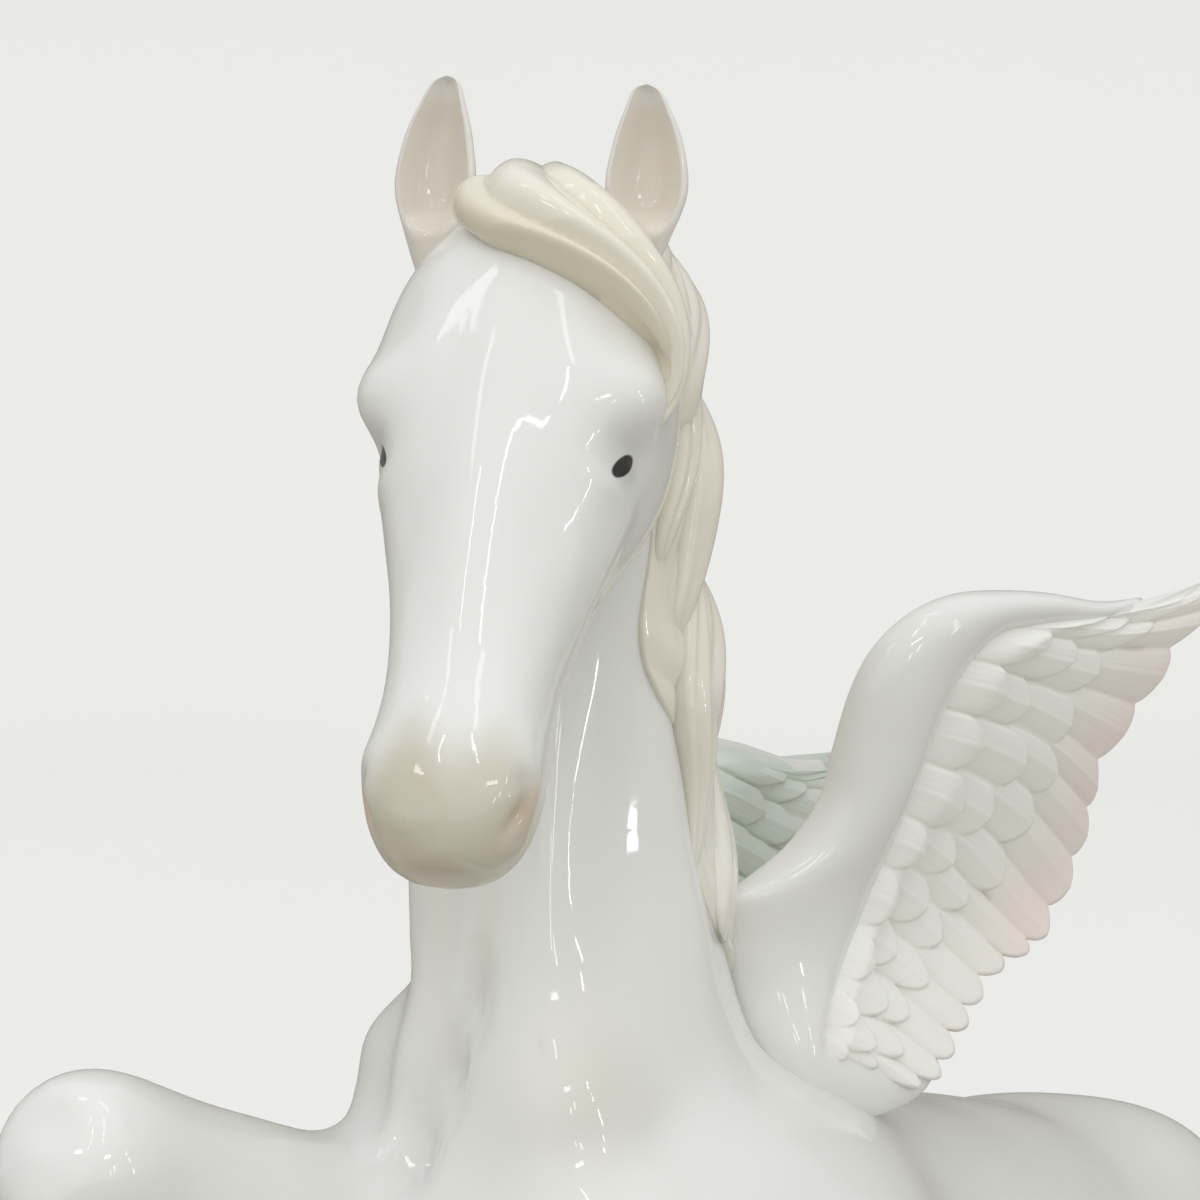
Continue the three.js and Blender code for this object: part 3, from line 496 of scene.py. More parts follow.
@dataclass
class Leg:
    """A leg with its hoof, as a chain of round sections from the body down."""

    horse: Horse
    kind: LegKind
    hand: Hand
    lift: float = 0.0
    step: float = 0.0
    forearm: float = 50.0
    fore_cannon: float = 33.0
    thigh: float = 46.0
    hind_cannon: float = 38.0
    pastern: float = 10.0
    hoof_height: float = 9.0
    hoof_radius: float = 7.0
    forearm_radius: float = 11.0
    thigh_radius: float = 12.5
    knee: float = 7.4
    hock: float = 6.0
    cannon: float = 4.0
    shoulder_spread: float = 15.0
    hip_spread: float = 14.0
    stance: float = 16.0

    @staticmethod
    def chain(points: Sequence[tuple[Array, float, float, float]]) -> Loft:
        """A loft of round sections: point, half width, back and front."""
        return Loft(np.array([[*p, wide, back, front, 2] for p, wide, back, front in points]))

    def hoof(self, fetlock: Array, pitch: float) -> Shell:
        """A hoof that flares down from the coronet to the sole, with rolled edges.

        Args:
            fetlock: the joint above it.
            pitch: how far it swings forwards, in degrees.

        Returns:
            The closed skin.
        """
        top = down(fetlock, self.pastern, pitch)
        sole = down(top, self.hoof_height, pitch)
        r = self.hoof_radius
        return self.chain([
            (mix(top, sole, -0.06), r * 0.5, r * 0.5, r * 0.5),
            (top, r * 0.72, r * 0.72, r * 0.72),
            (mix(top, sole, 0.15), r * 0.82, r * 0.8, r * 0.86),
            (mix(top, sole, 0.9), r * 0.98, r * 0.89, r * 1.1),
            (sole, r * 0.9, r * 0.8, r * 1.0),
        ]).shell(16, 32)

    def fore(self) -> list[Shell]:
        """The raised leg: forearm, folded cannon and hoof.

        Returns:
            The closed skins, each a chain of sections from joint to joint.
        """
        body, hand, lift = self.horse, self.hand, self.lift
        shoulder = body.on_trunk(0.17, -6, self.shoulder_spread * hand)
        elbow = body.on_trunk(0.1, -12 + lift * 0.2, (self.shoulder_spread + 1) * hand)
        knee = down(elbow, self.forearm, 90 + lift, 4 * hand)
        fold = 30 - lift * 0.6
        fetlock = down(knee, self.fore_cannon, -fold)
        f, k, c = self.forearm_radius, self.knee, self.cannon
        forearm = self.chain([
            (shoulder, f, f * 1.27, f * 1.27),
            (elbow, f, f * 1.16, f * 1.2),
            (mix(elbow, knee, 0.35), f * 0.94, f * 1.05, f * 1.02),
            (mix(elbow, knee, 0.75), f * 0.74, f * 0.82, f * 0.8),
            (knee, k * 1.02, k, k * 1.06),
            (mix(elbow, knee, 1.09), k * 0.7, k * 0.66, k * 0.74),
        ]).shell(48, 40)
        cannon = self.chain([
            (mix(knee, fetlock, -0.1), k * 0.6, k * 0.6, k * 0.6),
            (mix(knee, fetlock, 0.08), k * 0.9, k * 0.86, k * 0.94),
            (mix(knee, fetlock, 0.35), c * 1.16, c * 1.2, c * 1.12),
            (mix(knee, fetlock, 0.7), c, c * 1.1, c),
            (fetlock, c * 1.24, c * 1.4, c * 1.2),
            (down(fetlock, self.pastern * 0.7, -fold + 26), c * 1.05, c * 1.05, c),
            (down(fetlock, self.pastern + 3, -fold + 20), c * 1.1, c * 1.1, c * 1.1),
        ]).shell(60, 32)
        return [forearm, cannon, self.hoof(fetlock, -fold + 22)]

    def hind(self) -> list[Shell]:
        """The standing leg: thigh, gaskin, hock, cannon and hoof on the mound.

        Returns:
            The closed skins, each a chain of sections from joint to joint.
        """
        body, hand = self.horse, self.hand
        hip = body.on_trunk(0.83, 2, self.hip_spread * hand)
        stifle = down(hip, self.thigh, 30, 6 * hand)
        ground = vec(self.stance * hand, hip[1] - 4 + self.step, body.base_height - 1)
        fetlock = ground + vec(0, 4, self.hoof_height + self.pastern)
        hock = fetlock + vec(0, self.hind_cannon * 0.36, self.hind_cannon * 0.93)
        r, k, c = self.thigh_radius, self.hock, self.cannon
        leg = self.chain([
            (hip, r * 0.96, r * 1.76, r * 1.6),
            (mix(hip, stifle, 0.5), r, r * 1.6, r * 1.44),
            (stifle, r * 0.84, r * 1.2, r * 0.96),
            (mix(stifle, hock, 0.42), r * 0.64, r * 0.84, r * 0.8),
            (mix(stifle, hock, 0.8), k * 0.9, k * 1.1, k * 1.07),
            (hock, k, k * 1.15, k * 1.05),
            (mix(hock, fetlock, 0.35), c * 1.1, c * 1.25, c * 1.15),
            (mix(hock, fetlock, 0.75), c, c * 1.1, c),
            (fetlock, c * 1.24, c * 1.35, c * 1.25),
            (mix(fetlock, ground, 0.45), c * 1.08, c * 1.05, c * 1.1),
            (mix(fetlock, ground, 0.7), c * 1.1, c * 1.1, c * 1.1),
        ]).shell(110, 40)
        return [leg, self.hoof(fetlock, 12)]

    def shells(self) -> list[Shell]:
        """The closed skins of this leg."""
        return self.fore() if self.kind is LegKind.FORE else self.hind()


def make_object(name: str, shell: Shell, shift: Array) -> bpy.types.Object:
    """A smooth mesh object from a skin, in metres, with its values as point attributes.

    Args:
        name: the object's name.
        shell: the skin, in millimetres.
        shift: the move from the horse's frame to the row's frame, in millimetres.

    Returns:
        The new object, linked to the scene.
    """
    mesh = bpy.data.meshes.new(name)
    faces = [tuple(int(i) for i in f) for block in shell.faces for f in block]
    mesh.from_pydata(((shell.points + shift) * MM).tolist(), [], faces)
    mesh.polygons.foreach_set("use_smooth", np.ones(len(mesh.polygons), bool))
    for key, values in shell.values.items():
        layer = mesh.attributes.new(key, "FLOAT", "POINT")
        layer.data.foreach_set("value", np.asarray(values, np.float32))
    mesh.update()
    obj = bpy.data.objects.new(name, mesh)
    bpy.context.collection.objects.link(obj)
    return obj


def cleared(obj: bpy.types.Object) -> None:
    """Takes a working object and its mesh out of the file.

    Args:
        obj: the object.
    """
    mesh = obj.data
    bpy.data.objects.remove(obj)
    bpy.data.meshes.remove(mesh)


def read_shell(obj: bpy.types.Object) -> Shell:
    """The evaluated mesh of an object.

    Args:
        obj: the object.

    Returns:
        The skin, in metres.
    """
    evaluated = obj.evaluated_get(bpy.context.evaluated_depsgraph_get())
    mesh = evaluated.to_mesh()
    points = np.empty(len(mesh.vertices) * 3)
    mesh.vertices.foreach_get("co", points)
    totals = np.empty(len(mesh.polygons), int)
    mesh.polygons.foreach_get("loop_total", totals)
    corners = np.empty(len(mesh.loops), int)
    mesh.loops.foreach_get("vertex_index", corners)
    starts = np.concatenate([[0], np.cumsum(totals)[:-1]])
    faces = []
    for sides in np.unique(totals):
        pick = starts[totals == sides]
        faces.append(corners[pick[:, None] + np.arange(sides)[None]])
    evaluated.to_mesh_clear()
    return Shell(points.reshape(-1, 3), faces)


def melted(shells: Sequence[Shell], voxel: float) -> Shell:
    """Overlapping skins made one by filling them with voxels and skinning the result.

    Args:
        shells: the skins.
        voxel: the size of a voxel, in millimetres.

    Returns:
        The one skin.
    """
    whole = shells[0].joined(shells[1:])
    obj = make_object("melting", whole, vec(0, 0, 0))
    modifier = obj.modifiers.new("melt", "REMESH")
    modifier.mode = "VOXEL"
    modifier.voxel_size = voxel * MM
    modifier.use_smooth_shade = True
    shell = read_shell(obj)
    cleared(obj)
    shell.points = shell.points / MM
    return shell


def edges_of(faces: Sequence[Array]) -> Array:
    """Each pair of points that a face joins, once."""
    pairs = np.vstack([np.stack([f, np.roll(f, -1, 1)], -1).reshape(-1, 2) for f in faces])
    return np.unique(np.sort(pairs, 1), axis=0)


def relaxed(shell: Shell, weight: Array, rounds: int) -> Shell:
    """Moves each point towards the mean of its neighbours by its weight, so many rounds.

    Args:
        shell: the skin.
        weight: the share of the way that each point moves.
        rounds: how many times.

    Returns:
        The softened skin.
    """
    edges = edges_of(shell.faces)
    count = len(shell.points)
    both = np.concatenate([edges[:, 0], edges[:, 1]])
    other = np.concatenate([edges[:, 1], edges[:, 0]])
    degree = np.maximum(np.bincount(both, minlength=count), 1)[:, None]
    points = shell.points
    for _ in range(rounds):
        total = np.stack([np.bincount(both, points[other, k], count) for k in range(3)], -1)
        points = points + weight[:, None] * (total / degree - points)
    return Shell(points, shell.faces, shell.values)


def bell(points: Array, at: Sequence[float], radii: Sequence[float]) -> Array:
    """A bell over points: exp(-(sum of (distance / radius)^2)), 1 at its middle.

    Args:
        points: the points.
        at: its middle.
        radii: its radius along each axis.

    Returns:
        Its height at each point.
    """
    off = (points - np.array(at)) / np.array(radii)
    return np.exp(-(off ** 2).sum(1))


def both_sides(head: Array) -> Array:
    """Points on the head with the right side folded over onto the left."""
    return np.stack([head[:, 0], head[:, 1], np.abs(head[:, 2])], -1)


def normals_of(shell: Shell) -> Array:
    """The normal at each point: the sum of its faces' areas as vectors, made one long.

    Args:
        shell: the skin.

    Returns:
        The normals.
    """
    out = np.zeros_like(shell.points)
    for f in shell.faces:
        p = shell.points[f]
        area = np.cross(p[:, 2] - p[:, 0], p[:, -1] - p[:, 1])
        for k in range(f.shape[1]):
            for axis in range(3):
                out[:, axis] += np.bincount(f[:, k], area[:, axis], len(out))
    return unit(out)


def refined(shell: Shell, near: Callable[[Array], Array], rounds: int) -> Shell:
    """The skin with its faces cut in four in some places.

    Args:
        shell: the skin.
        near: which points lie where it is cut.
        rounds: how many times.

    Returns:
        The finer skin.
    """
    for _ in range(rounds):
        obj = make_object("refining", shell, vec(0, 0, 0))
        bm = bmesh.new()
        bm.from_mesh(obj.data)
        flags = near(np.array([v.co for v in bm.verts]) / MM)
        edges = [e for e in bm.edges if flags[e.verts[0].index] and flags[e.verts[1].index]]
        bmesh.ops.subdivide_edges(bm, edges=edges, cuts=1, use_grid_fill=True, smooth=0.0)
        bm.to_mesh(obj.data)
        bm.free()
        shell = read_shell(obj)
        shell.points = shell.points / MM
        cleared(obj)
    return shell


@dataclass
class HorseSkin:
    """The glazed skin over trunk, neck, head and legs, whose joints the potter wiped smooth.

    eye and lips bound what is carved finely, in millimetres on the head. NOSTRIL, CHIN and
    HALO are the middles and radii of painted spots there, CHIN's along and across it;
    the last is painted shade round the eyes. Each row of STAINS is a place in the
    horse's frame, a width and a height, for a cream patch that is partly glaze stain and partly
    painted reflection.
    """

    horse: Horse
    voxel: float = 1.0
    smooth_rounds: int = 6
    fillet_rounds: int = 45
    fine_cuts: int = 2
    eye: tuple[float, float, float] = (36.0, 2.5, 10.8)
    eye_reach: float = 4.6
    lips: tuple[float, float, float] = (-3.0, 14.0, 12.0)
    # front-to-back radius of the cream patches, which are partly glaze stain and partly painted
    # reflection
    stain_depth: float = 6.0

    NOSTRIL = ((5.0, 1.6, 6.6), (2.2, 1.2, 2.4))
    CHIN = ((-0.2, -1.0), (2.0, 2.6))
    # painted shade round the eyes: the middle and radii of a bell that darkens the glaze there
    HALO = ((35.9, 2.5, 10.8), (1.9, 2.7, 4.0))
    # cream patches on the neck and breast, each partly glaze stain and partly painted reflection
    STAINS = (
        (-6.5, -70.0, 212.0, 3.2, 14.0),
        (-1.0, -75.0, 214.0, 1.6, 8.0),
        (8.5, -73.0, 200.5, 5.5, 8.0),
        (-18.0, -90.0, 184.0, 7.0, 5.0),
    )

    def joints(self) -> list[tuple[Array, float]]:
        """The places where castings meet, each with the reach of its wiped fillet.

        Returns:
            Points in the horse's frame and reaches, in millimetres.
        """
        body = self.horse
        places = [(body.neck_root + vec(0, 0, 12), 26.0), (body.poll, 14.0)]
        for hand in (Hand.RIGHT, Hand.LEFT):
            places.append((body.on_trunk(0.13, -10, 17 * hand), 9.0))
            places.append((body.on_trunk(0.8, -8, 18 * hand), 22.0))
        return places

    def shells(self) -> list[Shell]:
        """Every closed form that melts into the skin.

        Returns:
            The lofts of the body and the legs.
        """
        body = self.horse
        legs = [
            Leg(body, LegKind.FORE, Hand.RIGHT, lift=29),
            Leg(body, LegKind.FORE, Hand.LEFT, lift=-14),
            Leg(body, LegKind.HIND, Hand.RIGHT),
            Leg(body, LegKind.HIND, Hand.LEFT, step=-14),
        ]
        forms = [body.trunk().shell(120, 96), body.neck().shell(60, 72), body.head().shell(80, 72)]
        return forms + [s for leg in legs for s in leg.shells()]

    def near_face(self, points: Array) -> Array:
        """True where the skin is carved finely: round the eyes, the nostrils and the lips.

        Args:
            points: points in the horse's frame.

        Returns:
            A flag for each point.
        """
        folded = both_sides(self.horse.in_head(points))
        along, up, out = folded.T
        low, high, half = self.lips
        eye = np.linalg.norm(folded - np.array(self.eye), axis=1) < self.eye_reach
        return eye | ((along < high) & (along > low) & (out < half) & (np.abs(up) < half))

    def carve(self, shell: Shell) -> Shell:
        """Moves the skin by the carving of the face and the body.

        Args:
            shell: the skin.

        Returns:
            The skin, each point moved along its normal.
        """
        folded = both_sides(self.horse.in_head(shell.points))
        normals = normals_of(shell)
        move = np.zeros(len(folded))
        for points, carving in ((folded, FACE_CARVING), (shell.points, BODY_CARVING)):
            for relief in carving:
                move += relief.height * bell(points, relief.at, relief.radii)
        shell.points = shell.points + normals * move[:, None]
        return shell

    def paint(self, shell: Shell) -> Shell:
        """Values for the painter: muzzle, warm spots, painted shade round the eyes and cream
        patches, each a bell; the patches are partly glaze stain and partly painted reflection.

        Args:
            shell: the skin.

        Returns:
            The skin with its values.
        """
        head = self.horse.in_head(shell.points)
        folded = both_sides(head)
        s, f, a = folded.T
        on_head = smoothstep(a, 20, 15) * smoothstep(f, -26, -22) * smoothstep(s, -8, -5)
        wobble = 1.2 * np.sin(0.9 * head[:, 2] + 0.4) + 0.8 * np.sin(0.7 * f)
        shell.values["muzzle"] = smoothstep(s + wobble, 11.0, 4.5) * on_head
        nostril = bell(folded, *self.NOSTRIL)
        chin = bell(head[:, ::2], *self.CHIN) * smoothstep(f, 4, 0)
        shell.values["warm"] = np.clip(nostril + 0.5 * chin, 0, 1) * on_head
        # painted shade round the eyes
        shell.values["painted_eye_shade"] = bell(folded, *self.HALO)
        # cream patches that are partly glaze stain and partly painted reflection
        stain_and_painted_light = np.zeros(len(shell.points))
        for x, y, z, wide, tall in self.STAINS:
            stain_and_painted_light = np.maximum(stain_and_painted_light, bell(shell.points, (x, y, z), (wide, self.stain_depth, tall)))
        shell.values["stain_and_painted_light"] = stain_and_painted_light
        return shell

    def build(self, shift: Array) -> bpy.types.Object:
        """The finished skin.

        Args:
            shift: the move from the horse's frame to the row's frame, in millimetres.

        Returns:
            The object.
        """
        shell = melted(self.shells(), self.voxel)
        shell = relaxed(shell, np.full(len(shell.points), 0.5), self.smooth_rounds)
        soft = np.zeros(len(shell.points))
        for at, reach in self.joints():
            near = np.linalg.norm(shell.points - at, axis=1) / reach
            soft = np.maximum(soft, smoothstep(near, 1.25, 0.7))
        shell = relaxed(shell, 0.6 * soft, self.fillet_rounds)
        shell = refined(shell, self.near_face, self.fine_cuts)
        fine = np.where(self.near_face(shell.points), 0.5, 0.0)
        shell = relaxed(shell, fine, self.smooth_rounds)
        return make_object("porcelain_horse", self.paint(self.carve(shell)), shift)


@dataclass
class Ear:
    """A cupped ear: each ring runs round the outside and back along the hollow.

    A row of SECTIONS holds a share of the height, of half_width and of the wall.
    """

    horse: Horse
    hand: Hand
    height: float
    half_width: float = 3.5
    spread: float = 9.0
    wall: float = 0.5
    lean: float = 0.07
    flatness: float = 0.95
    hollow: float = 0.88
    rings: int = 60
    arc: int = 28

    SECTIONS = (
        (-0.12, 0.4, 0.8),
        (0.1, 0.7, 1),
        (0.38, 1, 1),
        (0.66, 0.84, 0.9),
        (0.87, 0.53, 0.7),
        (0.965, 0.33, 0.5),
        (1, 0.04, 0.3),
    )

    def shell(self) -> Shell:
        """Half rings of radius half_width outside, and a shallower half ring back inside.

        Returns:
            The closed skin, with how far inside the hollow each point lies.
        """
        foot = self.horse.on_head(0.945, 3.5, self.spread * self.hand)
        up = unit(vec(0.06 * self.hand, 0.12, 1))
        across = unit(self.horse.head_side - (self.horse.head_side @ up) * up)
        front = np.cross(across, up)
        t = np.linspace(0, 1, self.rings + 1)
        share, width, cup = blend_rows(self.SECTIONS, t * (len(self.SECTIONS) - 1)).T
        lean = -self.lean * self.height * self.hand * share ** 3
        centre = foot + up * ((share - 0.1) * self.height)[:, None] + across * lean[:, None]
        half = self.half_width * width
        angle = np.linspace(0, math.pi, self.arc + 1)
        cos, sin = np.cos(angle)[None, :, None], np.sin(angle)[None, :, None]
        h = half[:, None, None]
        outer = centre[:, None] + across * h * cos - front * self.flatness * h * sin
        inner = np.maximum(half - self.wall * cup, half * 0.25)[:, None, None]
        hollow = np.maximum(half * self.hollow - self.wall * cup, 0.15 * half)
        depth = mix(-0.35 * half, hollow, smoothstep(share, 0.08, 0.3))[:, None, None]
        back = centre[:, None] + across * inner * cos - front * (depth * sin ** 1.7 - 0.15 * h)
        grid = np.concatenate([outer, back[:, ::-1]], 1)
        inside = np.zeros(grid.shape[:2])
        fade = smoothstep(share, 0.98, 0.8)[:, None]
        inside[:, self.arc + 1:] = (np.sin(angle)[::-1] ** 0.5)[None] * fade
        return ring_shell(grid, {"inside": inside})


def combed(strands: float, phase: Array, depth: float) -> Array:
    """Rounded strands with sharp furrows: depth * (|sin(pi * strands * phase)| - 1/2)."""
    return depth * (np.abs(np.sin(math.pi * strands * phase)) - 0.5)


def hair_sheet(over: Callable[[Array, Array], Array], under: Callable[[Array, Array], Array],
               steps: int, strips: int) -> Shell:
    """A closed sheet of hair: two faces on one grid that meet at its edges.

    Args:
        over: the outer face at t along it and j across it, both 0 to 1.
        under: the inner face there.
        steps: how many steps along it.
        strips: how many across it.

    Returns:
        The skin, with the places along and across it as values.
    """
    t = np.linspace(0, 1, steps + 1)[:, None]
    j = np.linspace(0, 1, strips + 1)[None]
    t, j = np.broadcast_arrays(t, j)
    outer, inner = over(t, j), under(t, j)
    grid = np.concatenate([outer, inner[:, 1:-1][:, ::-1]], 1)
    comb = np.concatenate([j, j[:, 1:-1][:, ::-1]], 1)
    along = np.concatenate([t, t[:, 1:-1][:, ::-1]], 1)
    return ring_shell(grid, {"across": comb, "along": along})


@dataclass
class Mane:
    """The mane: a combed fall along the crest with wavy locks over it, on the left of the neck.

    far_edge and near_edge are angles round the neck. A row of LOCKS is what lock() takes.
    """

    horse: Horse
    depth: float = 3.7
    strands: float = 4
    relief: float = 0.5
    waves: float = 3.2
    wave: float = 9.0
    swell: float = 0.22
    sink: float = 1.0
    lock_strands: float = 2.5
    lock_relief: float = 0.55
    lock_turns: float = 1.15
    fall_grid: tuple[int, int] = (200, 84)
    lock_grid: tuple[int, int] = (120, 28)
    first: float = 0.09
    last: float = 0.82
    far_edge: float = 114.0
    near_edge: tuple[float, ...] = (10, 0, -10, -4, 14, 44)

    LOCKS = (
        (0.00, 0.36, 74, 18, 42, 0.00, 2.6),
        (0.05, 0.48, 36, 2, 24, 0.50, 1.6),
        (0.15, 0.56, 88, 10, 42, 0.30, 3.0),
        (0.36, 0.74, 82, 14, 40, 0.10, 2.4),
        (0.38, 0.82, 36, 8, 22, 0.20, 1.6),
        (0.54, 0.92, 86, 30, 38, 0.60, 2.6),
        (0.10, 0.60, 112, 84, 26, 0.90, 1.6),
        (0.50, 0.95, 110, 80, 24, 0.40, 1.6),
        (0.74, 1.00, 84, 56, 26, 0.40, 1.8),
    )

    def edge(self, t: Array) -> Array:
        """The angle round the neck of the mane's lower edge."""
        rows = np.array(self.near_edge, float)[:, None]
        return blend_rows(rows, t * (len(rows) - 1))[..., 0]

    def end(self, t: Array) -> Array:
        """How full the mane is: thin at both ends, in soft lobes between.

        Args:
            t: the share of the mane.

        Returns:
            A factor for its depth.
        """
        full = np.sqrt(np.sin(math.pi * mix(0.012, 0.985, t)))
        return full * (1 + self.swell * np.sin(2 * math.pi * self.waves * t + 1))

    def fall(self) -> Shell:
        """The sheet: angle round the neck runs from beyond the crest down the left side.

        Returns:
            The closed sheet, carried on the neck's skin.
        """
        neck = self.horse.neck()

        def place(t: Array, j: Array, lift: Array | float) -> Array:
            """Points at t down the neck and j round it, so far off its skin.

            Args:
                t: places along it, 0 to 1.
                j: places across it, 0 to 1.
                lift: how far off the skin, in millimetres.

            Returns:
                The points.
            """
            wave = self.wave * np.sin(2 * math.pi * self.waves * t) * (0.3 + t) * j
            angle = np.radians(mix(self.far_edge, self.edge(t), j) + wave)
            return neck.skin(mix(self.first, self.last, t) * neck.last, angle, lift)

        def over(t: Array, j: Array) -> Array:
            """The outer face: crowned across and combed along.

            Args:
                t: places along it, 0 to 1.
                j: places across it, 0 to 1.

            Returns:
                The points.
            """
            crown = np.sin(math.pi * mix(0.03, 0.97, j)) ** 0.7
            sway = j + 0.12 * np.sin(2 * math.pi * (self.waves * t + 0.2))
            relief = combed(self.strands, sway, self.relief * 2)
            return place(t, j, (self.depth * 0.62 + relief) * crown * self.end(t))

        return hair_sheet(over, lambda t, j: place(t, j, -self.sink), *self.fall_grid)

    def lock(self, first: float, last: float, high: float, low: float, width: float,
             phase: float, puff: float) -> Shell:
        """One lock: it leaves the crest, sways down the neck and tapers to a point.

        Args:
            first: the share of the mane at which it starts.
            last: the share at which it ends.
            high: its angle round the neck at the start, in degrees.
            low: its angle at the end.
            width: how wide it is in the middle, in degrees.
            phase: where its sway begins, in turns.
            puff: how thick it is in the middle, in millimetres.

        Returns:
            The closed skin: a crowned section, as wide as sin(pi * t)^0.55.
        """
        neck = self.horse.neck()

        def middle(t: Array) -> Array:
            """The angle of its middle line, which eases down and sways.

            Args:
                t: places along it, 0 to 1.

            Returns:
                Angles in degrees.
            """
            turn = 2 * math.pi * (self.lock_turns * t + phase)
            sway = self.wave * np.sin(turn) * np.sin(math.pi * t) ** 0.5
            return mix(high, low, t * t * (3 - 2 * t)) + sway

        def place(t: Array, j: Array, lift: Array | float) -> Array:
            """Points at t along the lock and j across it, so far off the neck.

            Args:
                t: places along it, 0 to 1.
                j: places across it, 0 to 1.
                lift: how far off the skin, in millimetres.

            Returns:
                The points.
            """
            share = mix(first, last, t)
            wide = width * np.sin(math.pi * mix(0.03, 0.99, t)) ** 0.55
            angle = np.radians(middle(t) + wide * (0.5 - j))
            return neck.skin(mix(self.first, self.last, share) * neck.last, angle, lift)

        def over(t: Array, j: Array) -> Array:
            """The outer face: a half oval with furrows, thin at both ends.

            Args:
                t: places along it, 0 to 1.
                j: places across it, 0 to 1.

            Returns:
                The points.
            """
            x = 2 * j - 1
            crown = np.sqrt(np.maximum(0, 1 - x * x * 0.985))
            taper = np.sin(math.pi * mix(0.02, 0.99, t)) ** 0.75
            bent = j + 0.09 * np.sin(5 * t + 6 * phase)
            furrow = combed(self.lock_strands, bent, self.lock_relief)
            base = self.depth * 0.4 * self.end(mix(first, last, t))
            return place(t, j, base * taper + (puff + furrow) * crown * taper)

        return hair_sheet(over, lambda t, j: place(t, j, 0.2), *self.lock_grid)

    def build(self, shift: Array) -> bpy.types.Object:
        """The finished mane.

        Args:
            shift: the move from the horse's frame to the row's frame, in millimetres.

        Returns:
            The object.
        """
        shell = self.fall().joined([self.lock(*row) for row in self.LOCKS])
        return make_object("ivory_mane", shell, shift)


@dataclass
class Forelock:
    """The forelock: springs up between the ears and sweeps over the left brow."""

    horse: Horse
    half_width: float = 6.6
    depth: float = 4.0
    curl_radius: float = 10.0
    strands: int = 3
    relief: float = 1.3
    sink: float = 1.2
    span: tuple[float, float] = (0.99, 0.7)
    slant: tuple[float, float] = (0.045, -0.05)
    sweep: tuple[float, float] = (95, 14)
    grid: tuple[int, int] = (160, 70)

    def build(self, shift: Array) -> bpy.types.Object:
        """A crowned, combed sheet carried over the head's skin.

        Args:
            shift: the move from the horse's frame to the row's frame, in millimetres.

        Returns:
            The object.
        """
        head = self.horse.head()

        def place(t: Array, j: Array, lift: Array | float) -> Array:
            """Points at t along the sweep and j across it, so far off the head.

            Args:
                t: places along it, 0 to 1.
                j: places across it, 0 to 1.
                lift: how far off the skin, in millimetres.

            Returns:
                The points.
            """
            across = 2 * j - 1
            share = mix(*self.span, t) + mix(*self.slant, t) * across
            spread = self.half_width * across * np.sin(math.pi * mix(0.27, 0.97, t)) ** 0.6
            angle = np.radians(mix(*self.sweep, t ** 1.1)) - spread / self.curl_radius
            return head.skin(self.horse.head_row(share), angle, lift)

        def over(t: Array, j: Array) -> Array:
            """The outer face: a half oval with furrows, thin at its tip.

            Args:
                t: places along it, 0 to 1.
                j: places across it, 0 to 1.

            Returns:
                The points.
            """
            crown = np.sqrt(np.maximum(0, 1 - (2 * j - 1) ** 2 * 0.96))
            relief = combed(self.strands, j + 0.1 * np.sin(5 * t), self.relief)
            end = np.sin(math.pi * mix(0.3, 0.98, t)) ** 0.5
            return place(t, j, (self.depth * crown + relief * crown) * end)

        shell = hair_sheet(over, lambda t, j: place(t, j, -self.sink), *self.grid)
        return make_object("ivory_forelock", shell, shift)


